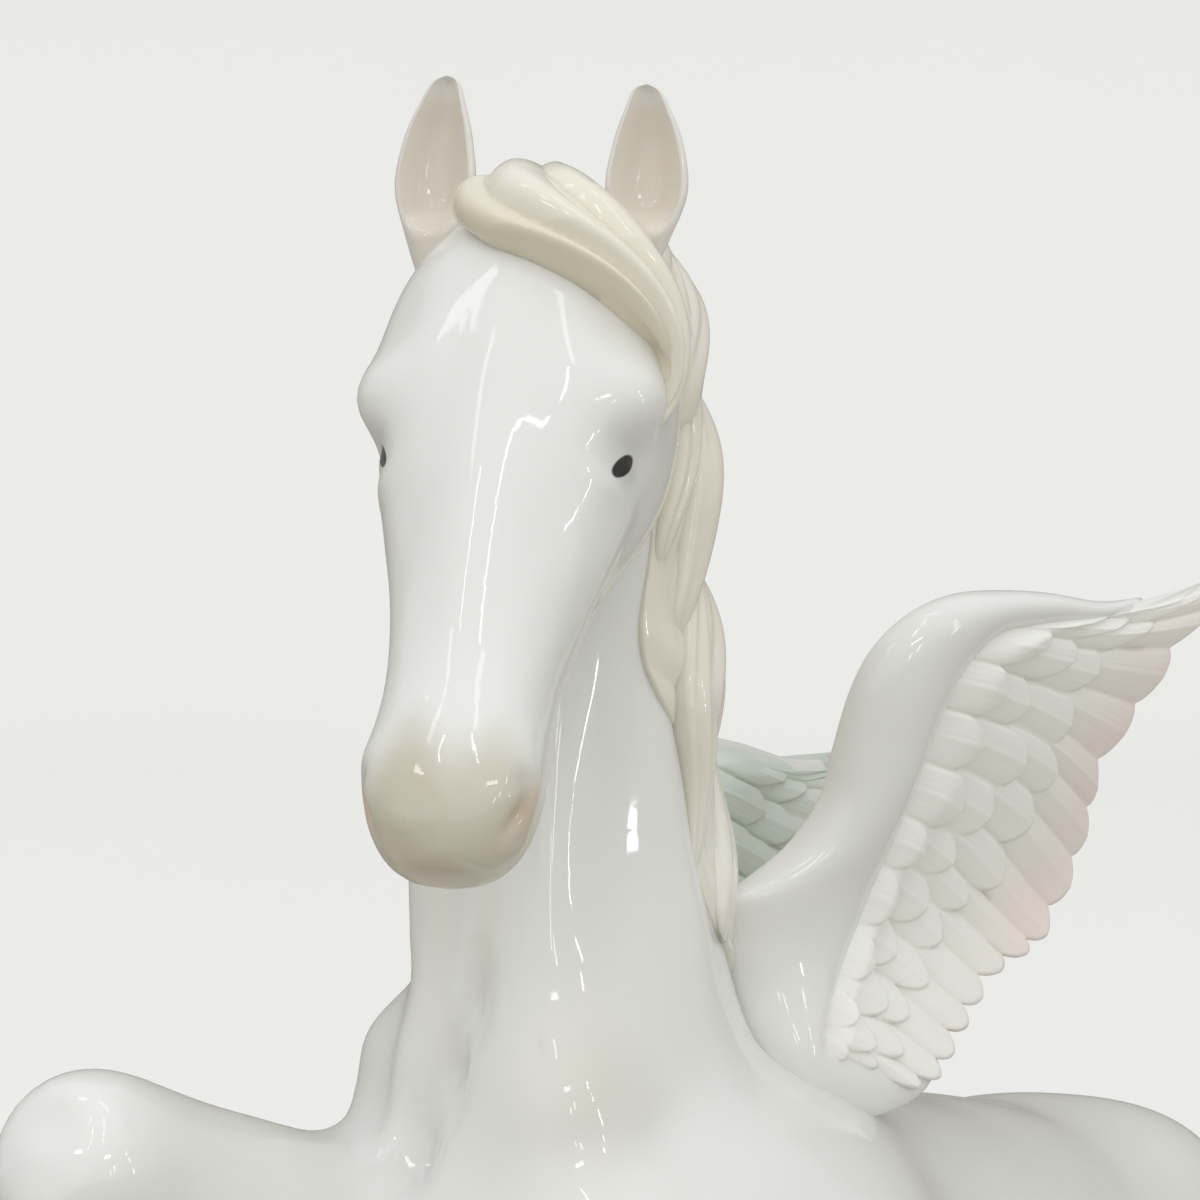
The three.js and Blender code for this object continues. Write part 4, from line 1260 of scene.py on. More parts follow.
@dataclass
class Tail:
    """The tail: one thick fall of twisting strands that reaches the mound."""

    horse: Horse
    radius: float = 8.5
    strands: int = 6
    relief: float = 0.14
    fine_strands: int = 30
    fine_relief: float = 0.03
    twist: float = 200.0
    foot_sink: float = 3.0
    rings: int = 260
    sides: int = 132

    def build(self, shift: Array) -> bpy.types.Object:
        """A loft times 1 + relief * (2 |sin((strands * angle + twist * share) / 2)|^1.4 - 1).

        Args:
            shift: the move from the horse's frame to the row's frame, in millimetres.

        Returns:
            The object.
        """
        dock = self.horse.on_trunk(0.985, self.radius)
        r, foot = self.radius, self.horse.base_height

        def drop(share: float) -> float:
            """The height at a share of the fall."""
            return mix(dock[2], foot, share)

        rows = np.array([
            [0, dock[1] - r * 0.7, dock[2] - r * 0.1, r * 0.5, r * 0.5, r * 0.5, 2],
            [0, dock[1] + r * 0.95, dock[2] + r * 0.6, r * 0.72, r * 0.7, r * 0.7, 2],
            [r * 0.12, dock[1] + r * 2.2, dock[2] - r * 0.6, r * 0.95, r * 0.9, r * 0.9, 2],
            [r * 0.12, dock[1] + r * 2.5, drop(0.34), r * 1.08, r * 1.02, r, 2],
            [-r * 0.12, dock[1] + r * 1.65, drop(0.56), r * 1.15, r * 1.05, r, 2],
            [-r * 0.12, dock[1] + r * 0.95, drop(0.78), r * 1.02, r * 0.95, r * 0.95, 2],
            [0, dock[1] + r * 0.5, drop(0.93), r * 0.85, r * 0.8, r * 0.8, 2],
            [0, dock[1] + r * 0.25, foot - self.foot_sink, r * 0.8, r * 0.75, r * 0.75, 2],
        ])
        loft = Loft(rows)
        t = np.linspace(0, loft.last, self.rings)[:, None]
        angle = (np.arange(self.sides) * 2 * math.pi / self.sides)[None]
        share = t / loft.last
        depth = self.relief * np.minimum(1, 3 * share)
        turn = math.radians(self.twist) * share * 2
        strand = 2 * np.abs(np.sin((self.strands * angle + turn) / 2)) ** 1.4 - 1
        swell = 1 + depth * strand
        ripple = np.cos(self.fine_strands * angle + 4 * turn + 1.5 * np.sin(9 * share))
        fine = self.fine_relief * depth / self.relief * ripple
        centre = blend_rows(rows, t[:, 0])[:, None, :3]
        grid = centre + (loft.skin(t, angle) - centre) * (swell + fine)[..., None]
        values = {"across": np.broadcast_to(angle, grid.shape[:2]) / 6.3,
                  "along": np.broadcast_to(share, grid.shape[:2])}
        return make_object("ivory_tail", ring_shell(grid, values), shift)


@dataclass(frozen=True)
class FeatherRow:
    """One row of feathers.

    It holds how many there are, the share of the vane that they reach over, how high they stand,
    how far the row is moved along, in feathers, and how uneven their lengths are.
    """

    count: int
    reach: float
    stand: float
    shift: float
    uneven: float


@dataclass
class Wing:
    """A wing in its own frame: u runs back along it, v up, w outwards from the vane.

    It stands at root_spread, root_back and root_rise from the breast. splay turns it outwards at
    its root and tip, swing turns it back, and below its root it hugs the barrel in a soft bend.
    The tables hold shares of its length. A row of ARM has one edge's u, v, w, the other edge's
    and the half depth between them. ROOTS, LEADS and TIPS are the lines on which the feathers
    start, the arm's leading edge and the line that the longest feathers reach.
    """

    horse: Horse
    hand: Hand
    splay: tuple[float, float]
    swing: float = 0.0
    drop: float = 0.0
    length: float = 68.0
    root_spread: float = 7.0
    root_back: float = 24.0
    root_rise: float = 22.0
    flare: float = 0.2
    hug: float = 0.5
    bend: float = 5.0
    overlap: float = 1.14
    web: float = 0.3
    edge_width: float = 1.0
    tip_round: float = 1.0
    shoulder: float = 1.3
    run_back: float = 0.3
    flat_side: float = 0.3
    bow: float = 0.05
    tip_bow: float = -1.6
    covert_round: float = 1.7
    inner_shift: float = 0.37
    arm_grid: tuple[int, int] = (120, 72)
    columns: int = 330
    fine: int = 188
    coarse: int = 92

    ARM = (
        (0.385, -0.195, -0.01, 0.385, -0.175, 0, 0.008),
        (0.34, -0.222, -0.02, 0.33, -0.165, 0, 0.014),
        (0.25, -0.236, -0.03, 0.25, -0.15, 0.004, 0.018),
        (0.16, -0.222, -0.035, 0.18, -0.13, 0.008, 0.022),
        (0.1, -0.18, -0.035, 0.165, -0.12, 0.01, 0.026),
        (0.08, -0.11, -0.032, 0.175, -0.095, 0.012, 0.034),
        (0.074, -0.03, -0.028, 0.225, -0.045, 0.012, 0.042),
        (0.052, 0.035, -0.026, 0.28, 0.015, 0.01, 0.048),
        (0.038, 0.085, -0.022, 0.31, 0.075, 0.008, 0.054),
        (0.085, 0.11, -0.014, 0.325, 0.13, 0.006, 0.06),
        (0.145, 0.15, -0.006, 0.335, 0.185, 0.004, 0.063),
        (0.181, 0.21, 0, 0.342, 0.24, 0.002, 0.063),
        (0.184, 0.28, 0, 0.35, 0.29, 0, 0.061),
        (0.19, 0.36, 0, 0.362, 0.34, 0, 0.059),
        (0.212, 0.418, 0, 0.374, 0.375, 0, 0.056),
        (0.26, 0.462, 0, 0.392, 0.4, 0, 0.053),
        (0.325, 0.485, 0, 0.415, 0.42, 0, 0.048),
        (0.4, 0.488, 0, 0.45, 0.428, 0, 0.04),
        (0.5, 0.48, 0, 0.52, 0.43, 0, 0.032),
        (0.61, 0.462, -0.002, 0.62, 0.43, -0.002, 0.022),
        (0.7, 0.462, -0.012, 0.705, 0.446, -0.012, 0.008),
    )
    ROOTS = (
        (0.16, -0.145),
        (0.17, -0.1),
        (0.19, -0.05),
        (0.22, 0.0),
        (0.252, 0.052),
        (0.27, 0.112),
        (0.28, 0.165),
        (0.292, 0.215),
        (0.302, 0.265),
        (0.312, 0.315),
        (0.325, 0.368),
        (0.355, 0.41),
        (0.42, 0.438),
        (0.51, 0.446),
        (0.615, 0.442),
    )
    LEADS = (
        (0.085, -0.15),
        (0.082, -0.1),
        (0.08, -0.06),
        (0.077, -0.02),
        (0.062, 0.035),
        (0.052, 0.09),
        (0.105, 0.12),
        (0.15, 0.16),
        (0.181, 0.215),
        (0.184, 0.28),
        (0.192, 0.36),
        (0.235, 0.43),
        (0.33, 0.478),
        (0.46, 0.478),
        (0.6, 0.462),
    )
    TIPS = (
        (0.245, -0.185),
        (0.325, -0.206),
        (0.385, -0.195),
        (0.44, -0.162),
        (0.5, -0.13),
        (0.565, -0.093),
        (0.645, -0.075),
        (0.715, -0.052),
        (0.785, 0.02),
        (0.787, 0.11),
        (0.757, 0.2),
        (0.785, 0.3),
        (0.812, 0.4),
        (0.885, 0.468),
        (0.985, 0.562),
    )
    ROWS = (
        FeatherRow(16, 1.0, 0.3, 0.5, 0.0),
        FeatherRow(13, 0.68, 0.95, 0.1, 0.04),
        FeatherRow(11, 0.46, 1.6, 0.6, 0.07),
        FeatherRow(10, 0.27, 2.2, 0.3, 0.1),
    )

    def place(self, back: Array, rise: Array, w: Array) -> Array:
        """The point at u, v, w: the vane hugs the barrel below its root and flares above it.

        Args:
            back: how far back along the wing, u, in millimetres.
            rise: how far up, v.
            w: how far outwards from the vane.

        Returns:
            Points in the horse's frame.
        """
        root = self.horse.breast + vec(self.root_spread, self.root_back, self.root_rise)
        turn = math.radians(self.swing)
        u = back * math.cos(turn) + rise * math.sin(turn)
        v = rise * math.cos(turn) - back * math.sin(turn)
        below = (np.sqrt(v * v + self.bend ** 2) - v) / 2
        lean = self.flare * v + (self.hug + self.flare) * below - 0.8
        splay = mix(*self.splay, smoothstep(v / self.length, -0.09, 0.56))
        along = np.sqrt(1 - splay ** 2)
        x = self.hand * (root[0] + lean + u * splay + w * along)
        return np.stack([x, root[1] + u * along - w * splay, root[2] + v - self.drop], -1)

    def arm(self) -> Shell:
        """The glazed arm: oval sections between two edge lines, from its pad to the tip joint.

        Returns:
            The closed skin.
        """
        rings, sides = self.arm_grid
        t = np.linspace(0, len(self.ARM) - 1, rings)
        rows = blend_rows(self.ARM, t) * self.length
        one, other, deep = rows[:, None, :3], rows[:, None, 3:6], rows[:, 6:]
        angle = (np.arange(sides) * 2 * math.pi / sides)[None]
        share = 0.5 - 0.5 * np.cos(angle)
        u, v, w = np.moveaxis(mix(one, other, share[..., None]), -1, 0)
        side = np.where(np.sin(angle) > 0, 1.0, self.flat_side)
        return ring_shell(self.place(u, v, w + deep * side * np.sin(angle)))

    def arc(self, rows: Sequence[Sequence[float]]) -> float:
        """The length in millimetres of the line through a table's points."""
        steps = np.diff(np.array(rows) * self.length, axis=0)
        return float(np.linalg.norm(steps, axis=1).sum())

    def feather(self, row: FeatherRow, k: int, s: Array, r: Array,
                length: Array) -> tuple[Array, Array]:
        """One feather over the vane.

        Args:
            row: the row that it belongs to.
            k: its number in the row.
            s: the share across the fan.
            r: the share of the way from root to tip.
            length: the distance from root to tip at s, in millimetres.

        Returns:
            Its cross coordinate, -1 to 1 from edge to edge, and the distance inside its outline,
            in millimetres: half an ellipse at the tip, straight edges behind it.
        """
        x = 2 * (s * row.count + row.shift - k - 0.5) / self.overlap
        across = mix(self.arc(self.ROOTS), self.arc(self.TIPS), r) * self.overlap / (2 * row.count)
        reach = row.reach * (1 + row.uneven * math.sin(2.4 * k + 9 * row.reach))
        blunt = self.tip_round * (1.0 if row.reach == 1.0 else self.covert_round)
        droop = blunt * (1 - np.sqrt(np.clip(1 - x * x, 0, 1)))
        inside = np.minimum((1 - np.abs(x)) * across, (reach - r) * length - droop * across)
        return x, inside

    def relief(self, s: Array, r: Array, length: Array, face: int) -> tuple[Array, Array, Array]:
        """The feathers' height over the vane, their barbs and how deep in a groove each point is.

        The highest feather wins at each point, so each row lies over the next one.

        Args:
            s: the share across the fan.
            r: the share of the way from root to tip.
            length: the distance from root to tip at s, in millimetres.
            face: 1 for the outer face, -1 for the inner one.

        Returns:
            The height in millimetres, the cross coordinate and the groove, 0 to 1.
        """
        height = np.full(s.shape, self.web)
        barb = np.zeros(s.shape)
        groove = np.ones(s.shape)
        for row in self.ROWS:
            moved = 0.0 if face > 0 or row.reach == 1.0 else self.inner_shift
            own = replace(row, shift=row.shift + moved)
            for k in range(-1, row.count + 2):
                x, inside = self.feather(own, k, s, r, length)
                edge = np.sqrt(1 - (1 - np.clip(inside / self.edge_width, 0, 1)) ** 2)
                crown = 0.75 * (1 - np.abs(x) ** 1.8) + 0.08 * x
                quill = 0.1 * np.exp(-(x / 0.1) ** 2)
                top = self.web + (row.stand + crown + quill) * edge
                won = (inside > 0) & (top > height)
                height = np.where(won, top, height)
                barb = np.where(won, x, barb)
                groove = np.where(won, 1 - smoothstep(inside, 0.05, 0.9), groove)
        return height, barb, groove

    def face_of(self, s: Array, share: Array, face: int) -> tuple[Array, dict[str, Array]]:
        """One face of the vane: points, and values for the painter.

        Args:
            s: shares across the fan, one for each ring.
            share: shares of the way out to the scalloped edge.
            face: 1 for the outer face, -1 for the inner one.

        Returns:
            The points and the values, on a grid of s by share.
        """
        last = len(self.ROOTS) - 1
        at = s * last
        root, end = (blend_rows(rows, at) * self.length for rows in (self.ROOTS, self.TIPS))
        length = np.linalg.norm(end - root, axis=1)[:, None]
        flight = self.ROWS[0]
        phase = (s * flight.count + flight.shift) % 1.0
        x = (2 * phase - 1) / self.overlap
        across = self.arc(self.TIPS) * self.overlap / (2 * flight.count)
        outline = 1 - self.tip_round * (1 - np.sqrt(1 - x * x))[:, None] * across / length
        start = -self.run_back if face < 0 and self.hand < 0 else 0.0
        r = start + share[None] * (outline - start)
        wide = np.broadcast_to(s[:, None], r.shape)
        height, barb, groove = self.relief(wide, r, np.broadcast_to(length, r.shape), face)
        line = unit(end - root)[:, None]
        ahead, behind = np.maximum(r, 0)[..., None], np.clip(-r / self.run_back, 0, 1)[..., None]
        curve = self.bow * mix(1.0, self.tip_bow, smoothstep(at, last - 5.0, last))[:, None]
        bow = curve * length * np.sin(math.pi * ahead[..., 0])
        side = np.stack([-line[..., 1] * bow, line[..., 0] * bow], -1)
        lead = blend_rows(self.LEADS, at) * self.length
        spot = root[:, None] + line * ahead * length[..., None] + side
        spot = spot + (lead - root)[:, None] * behind
        height = height * mix(1.0, 0.8, r) * mix(0.1, 1.0, smoothstep(r - start, 0.0, 0.2))
        ends = mix(0.35, 1.0, smoothstep(at, 0.0, 0.9) * smoothstep(at, last, last - 2.5))
        ends = ends * smoothstep(at, -0.06, 0.25) * smoothstep(at, last + 0.05, last - 0.2)
        ends = ends[:, None]
        height = height * ends * np.sqrt(1 - 0.98 * behind[..., 0] ** 4)
        rise = self.shoulder * smoothstep(np.abs(r), 0.32, 0.0) * ends
        rise = rise * smoothstep(at, 0.0, 5.0)[:, None]
        grid = self.place(spot[..., 0], spot[..., 1], face * (height + rise))
        return grid, {"reach": r, "barb": barb, "groove": groove, "fan": wide}

    def vane(self) -> Shell:
        """The feathered sheet: two faces of feathers that meet at the scalloped edge.

        Returns:
            The closed skin, finer on the face that the feathers show on.
        """
        s = np.linspace(0.004, 0.996, self.columns)
        fine, coarse = np.linspace(0, 1, self.fine), np.linspace(0, 1, self.coarse)
        shares = (fine, coarse) if self.hand > 0 else (coarse, fine)
        outer, front = self.face_of(s, shares[0], 1)
        inner, back = self.face_of(s, shares[1], -1)
        grid = np.concatenate([outer, inner[:, ::-1]], 1)
        values = {k: np.concatenate([front[k], back[k][:, ::-1]], 1) for k in front}
        return ring_shell(grid, values)

    def build(self, shift: Array) -> tuple[bpy.types.Object, bpy.types.Object]:
        """The glazed arm and the bisque feathers.

        Args:
            shift: the move from the horse's frame to the row's frame, in millimetres.

        Returns:
            Both objects.
        """
        side = self.hand.word
        return (make_object(f"{side}_wing_arm", self.arm(), shift),
                make_object(f"{side}_wing_feathers", self.vane(), shift))


@dataclass
class Mound:
    """The oval mound with a rolled edge and a domed top."""

    horse: Horse
    inset: float = 0.1
    rings: int = 90
    sides: int = 160

    def build(self, shift: Array) -> bpy.types.Object:
        """Ovals stacked from the foot to the crown: radius and height from a rounded profile.

        Args:
            shift: the move from the horse's frame to the row's frame, in millimetres.

        Returns:
            The object.
        """
        body = self.horse
        half_l, half_w = body.base_length / 2 - self.inset, body.base_width / 2 - self.inset
        edge, top = body.base_edge, body.base_height
        rows = [(edge * 0.5, 1, 0.0), (0, 1, edge * 0.7), (edge * 0.3, 1, edge * 1.5)]
        rows = np.array(rows + [
            (0, share, mix(edge * 1.5, top, math.sqrt(1 - share * share) ** 0.7))
            for share in (0.85, 0.65, 0.4, 0.1)
        ])
        inset, share, z = blend_rows(rows, np.linspace(0, len(rows) - 1, self.rings)).T
        angle = (np.arange(self.sides) * 2 * math.pi / self.sides)[None]
        x = (half_w * share - inset)[:, None] * np.cos(angle)
        y = body.base_centre_y + (half_l * share - inset)[:, None] * np.sin(angle)
        grid = np.stack([x, y, np.broadcast_to(z[:, None], x.shape)], -1)
        return make_object("porcelain_mound", ring_shell(grid), shift)


class Nodes:
    """A short way to write a material's nodes."""

    def __init__(self, name: str) -> None:
        """Makes a material with a principled shader.

        Args:
            name: the material's name.
        """
        self.material = bpy.data.materials.new(name)
        self.material.use_nodes = True
        self.tree = self.material.node_tree
        self.shader = self.tree.nodes["Principled BSDF"]

    def add(self, kind: str, **settings: object) -> bpy.types.Node:
        """A node with its properties set.

        Args:
            kind: the kind of node.
            settings: its properties.

        Returns:
            The node.
        """
        node = self.tree.nodes.new(kind)
        for key, value in settings.items():
            setattr(node, key, value)
        return node

    def link(self, source: Socket, target: Socket) -> None:
        """A link between two sockets."""
        self.tree.links.new(source, target)

    def object_point(self) -> Socket:
        """The point in the object's coordinates."""
        return self.add("ShaderNodeTexCoord").outputs["Object"]

    def value(self, name: str) -> Socket:
        """A point attribute of the mesh."""
        return self.add("ShaderNodeAttribute", attribute_name=name).outputs["Fac"]

    def noise(self, scale: float, detail: float = 3.0) -> Socket:
        """Noise in object coordinates.

        Args:
            scale: how many lumps there are in a metre.
            detail: how many octaves.

        Returns:
            The noise.
        """
        node = self.add("ShaderNodeTexNoise")
        node.inputs["Scale"].default_value = scale
        node.inputs["Detail"].default_value = detail
        self.link(self.object_point(), node.inputs["Vector"])
        return node.outputs["Fac"]

    def feed(self, item: Socket | Color | float, target: Socket) -> None:
        """Links a socket to an input, or sets the input to a colour or a number.

        Args:
            item: what goes in.
            target: the input that takes it.
        """
        if isinstance(item, (int, float)):
            target.default_value = item
        elif isinstance(item, tuple):
            target.default_value = (*item, 1.0)
        else:
            self.link(item, target)

    def math(self, operation: str, a: Socket | float, b: Socket | float,
             clamp: bool = False) -> Socket:
        """A math node.

        Args:
            operation: what it works out.
            a: the first number.
            b: the second number.
            clamp: whether the result is held between 0 and 1.

        Returns:
            The result.
        """
        node = self.add("ShaderNodeMath", operation=operation, use_clamp=clamp)
        self.feed(a, node.inputs[0])
        self.feed(b, node.inputs[1])
        return node.outputs[0]

    def times(self, a: Socket | float, b: Socket | float) -> Socket:
        """The product of two numbers."""
        return self.math("MULTIPLY", a, b)

    def ramp(self, value: Socket, low: float, high: float,
             to_low: float = 0.0, to_high: float = 1.0) -> Socket:
        """A value carried from one range to another in a straight line, and held in it.

        Args:
            value: the value.
            low: where its range starts.
            high: where its range ends.
            to_low: the result at low and before it.
            to_high: the result at high and past it.

        Returns:
            The result.
        """
        node = self.add("ShaderNodeMapRange")
        span = {"From Min": low, "From Max": high, "To Min": to_low, "To Max": to_high}
        for name, number in span.items():
            node.inputs[name].default_value = number
        self.link(value, node.inputs["Value"])
        return node.outputs["Result"]

    def blend(self, share: Socket, a: Socket | Color, b: Socket | Color) -> Socket:
        """A colour mix.

        Args:
            share: how much of b there is.
            a: the first colour.
            b: the second colour.

        Returns:
            The mixed colour.
        """
        node = self.add("ShaderNodeMix", data_type="RGBA")
        for slot, item in ((0, share), (6, a), (7, b)):
            self.feed(item, node.inputs[slot])
        return node.outputs[2]

    def body(self, ior: float, depth: float, weight: float, spread: Color) -> None:
        """The glow of light in a fired body.

        Args:
            ior: the index of refraction of its face.
            depth: how far light goes in, in millimetres.
            weight: how much light goes in.
            spread: how far each colour goes, as a share of the depth.
        """
        inputs = self.shader.inputs
        inputs["IOR"].default_value = ior
        inputs["Subsurface Weight"].default_value = weight
        inputs["Subsurface Radius"].default_value = spread
        inputs["Subsurface Scale"].default_value = depth * MM

    def painted(self, color: Socket) -> bpy.types.Material:
        """The material, with its colour linked."""
        self.link(color, self.shader.inputs["Base Color"])
        return self.material

    def bump(self, height: Socket, strength: float, distance: float) -> None:
        """A bump from a height, chained onto any bump that the shader has.

        Args:
            height: the height, 0 to 1.
            strength: how strong it is.
            distance: how deep it is, in millimetres.
        """
        node = self.add("ShaderNodeBump")
        node.inputs["Strength"].default_value = strength
        node.inputs["Distance"].default_value = distance * MM
        self.link(height, node.inputs["Height"])
        links = self.shader.inputs["Normal"].links
        if links:
            self.link(links[0].from_socket, node.inputs["Normal"])
        self.link(node.outputs["Normal"], self.shader.inputs["Normal"])


@dataclass(frozen=True)
class Glaze:
    """A clear glaze over a tinted body: glossy, with faint pooling and waviness."""

    name: str
    color: Color
    pooled: Color
    roughness: float = 0.05
    wave: float = 0.06
    pool_scale: float = 28.0
    gloss_scale: float = 160.0
    wave_scale: float = 70.0

    def nodes(self) -> tuple[Nodes, Socket]:
        """The glaze without its paint.

        Returns:
            The nodes and the colour, which drifts between color and pooled.
        """
        n = Nodes(self.name)
        pool = n.ramp(n.noise(self.pool_scale), 0.35, 0.7)
        color = n.blend(pool, self.color, self.pooled)
        gloss = n.noise(self.gloss_scale)
        rough = n.ramp(gloss, 0.3, 0.7, self.roughness * 0.8, self.roughness * 1.3)
        n.link(rough, n.shader.inputs["Roughness"])
        n.body(1.5, 1.6, 0.12, (1.0, 0.85, 0.7))
        n.bump(n.noise(self.wave_scale, 2.0), self.wave, 1.0)
        return n, color

    def material(self) -> bpy.types.Material:
        """The plain glaze."""
        n, color = self.nodes()
        return n.painted(color)


@dataclass(frozen=True)
class HorseGlaze(Glaze):
    """The horse's glaze, with the painted muzzle, nostrils and eyes under it.

    An eye lies at its place along, above and across the head, with its radii, in millimetres.
    """

    horse: Horse = field(default_factory=Horse)
    shift: tuple[float, float, float] = (0.0, 0.0, 0.0)
    along: float = 35.5
    left_place: tuple[float, float] = (2.6, 10.4)
    right_place: tuple[float, float] = (3.9, -10.2)
    radii: tuple[float, float, float] = (1.8, 0.74, 3.0)
    speckle_scale: float = 120.0
    muzzle: Color = (0.60, 0.555, 0.445)
    warm: Color = (0.62, 0.46, 0.32)
    # the grey-green of the painted shade round the eyes
    painted_eye_shade: Color = (0.34, 0.36, 0.33)
    # the colour of the patches that are partly glaze stain and partly painted reflection
    cream: Color = (0.70, 0.67, 0.56)
    pupil: Color = (0.012, 0.011, 0.011)

    def eye(self, n: Nodes, hand: Hand) -> Socket:
        """1 inside the painted eye: an ellipsoid about its place on the head.

        Args:
            n: the nodes.
            hand: which eye.

        Returns:
            The mask.
        """
        body = self.horse
        rise, across = self.left_place if hand is Hand.LEFT else self.right_place
        at = body.on_head(self.along / body.head_length, rise, across) + np.array(self.shift)
        long = unit(2.5 * body.head_axis - 1.8 * body.head_up + 1.1 * hand * body.head_side)
        out = unit(np.cross(long, body.head_axis) * hand)
        turn = Matrix(np.stack([long, np.cross(out, long), out], 1).tolist()).to_euler()
        mapping = n.add("ShaderNodeMapping", vector_type="TEXTURE")
        mapping.inputs["Location"].default_value = tuple(at * MM)
        mapping.inputs["Rotation"].default_value = tuple(turn)
        mapping.inputs["Scale"].default_value = tuple(radius * MM for radius in self.radii)
        n.link(n.object_point(), mapping.inputs["Vector"])
        length = n.add("ShaderNodeVectorMath", operation="LENGTH")
        n.link(mapping.outputs["Vector"], length.inputs[0])
        return n.ramp(length.outputs["Value"], 0.92, 1.08, 1.0, 0.0)

    def material(self) -> bpy.types.Material:
        """The glaze with its painting.

        Returns:
            The material.
        """
        n, color = self.nodes()
        speckle = n.ramp(n.noise(self.speckle_scale), 0.3, 0.75, 0.75, 1.0)
        color = n.blend(n.times(n.value("muzzle"), speckle), color, self.muzzle)
        # painted shade round the eyes, and cream patches of glaze stain and painted reflection
        paints = {"warm": (0.6, self.warm), "painted_eye_shade": (0.4, self.painted_eye_shade), "stain_and_painted_light": (0.36, self.cream)}
        for name, (strength, paint) in paints.items():
            color = n.blend(n.times(n.value(name), strength), color, paint)
        eyes = n.math("ADD", self.eye(n, Hand.LEFT), self.eye(n, Hand.RIGHT), clamp=True)
        return n.painted(n.blend(eyes, color, self.pupil))


@dataclass(frozen=True)
class EarGlaze(Glaze):
    """White glaze with a beige-grey wash in the hollow of the ear."""

    wash: Color = (0.70, 0.625, 0.51)
    strength: float = 0.55

    def material(self) -> bpy.types.Material:
        """The glaze with its wash."""
        n, color = self.nodes()
        return n.painted(n.blend(n.times(n.value("inside"), self.strength), color, self.wash))


@dataclass(frozen=True)
class HairGlaze(Glaze):
    """Ivory glaze, darker in the furrows between strands where it pools, with painted shade there
    too, and painted shade along the under edge of each sheet of hair and one side of the tail.
    """

    # the darker tone of furrows and under edges: partly pooled glaze, partly painted shade
    furrow: Color = (0.70, 0.64, 0.48)

    def material(self) -> bpy.types.Material:
        """The glaze with its pooling and painted shade.

        Returns:
            The material.
        """
        n, color = self.nodes()
        # darker where the surface is hollow: partly pooled glaze, partly painted shade in the
        # furrows
        pointed = n.add("ShaderNodeNewGeometry").outputs["Pointiness"]
        hollow = n.ramp(pointed, 0.44, 0.5, 0.8, 0.0)
        color = n.blend(hollow, color, self.furrow)
        # painted shade along one edge of each hair sheet and one side of the tail, where the hair
        # turns under
        under = n.ramp(n.value("across"), 0.1, 0.34, 0.6, 0.0)
        return n.painted(n.blend(under, color, self.furrow))


@dataclass(frozen=True)
class Bisque:
    """Unglazed feathers: satin, tinted towards the tips, with painted shade in the grooves between
    them.

    The tint grows from near to far between the shares start and end of a feather's reach.
    """

    name: str
    near: Color
    far: Color
    start: float
    end: float
    roughness: float = 0.42
    patch_scale: float = 60.0
    tint_scale: float = 45.0
    spot_scale: float = 150.0
    tooth_scale: float = 400.0
    barbs: float = 30.0
    # the colour of the painted shade in the grooves between feathers
    stain_and_painted_light: Color = (0.60, 0.58, 0.52)
    spot: Color = (0.62, 0.50, 0.40)

    def material(self) -> bpy.types.Material:
        """The satin body with its tint, painted shade in the grooves and a few warm spots in them.

        Returns:
            The material.
        """
        n = Nodes(self.name)
        patch = n.ramp(n.noise(self.patch_scale), 0.35, 0.7, -0.12, 0.12)
        reach = n.ramp(n.math("ADD", n.value("reach"), patch), self.start, self.end)
        patchy = n.ramp(n.noise(self.tint_scale, 1.0), 0.36, 0.6, 0.35, 1.0)
        fan = n.ramp(n.value("fan"), 0.16, 0.42)
        color = n.blend(n.times(n.times(reach, patchy), fan), self.near, self.far)
        # painted shade in the grooves where one feather lies over the next, with warm spots in them
        color = n.blend(n.times(n.value("groove"), 0.3), color, self.stain_and_painted_light)
        spots = n.ramp(n.noise(self.spot_scale, 1.0), 0.66, 0.74)
        color = n.blend(n.times(spots, n.value("groove")), color, self.spot)
        n.shader.inputs["Roughness"].default_value = self.roughness
        n.body(1.45, 1.4, 0.15, (1.0, 0.85, 0.75))
        n.bump(n.math("SINE", n.times(n.value("barb"), self.barbs), 0.0), 0.06, 0.1)
        n.bump(n.noise(self.tooth_scale, 4.0), 0.1, 0.08)
        return n.painted(color)


@dataclass(frozen=True)
class Lamp:
    """A rectangular lamp: how far right, to the camera and up from the head, and its size."""

    right: float
    away: float
    up: float
    wide: float
    tall: float
    watts: float


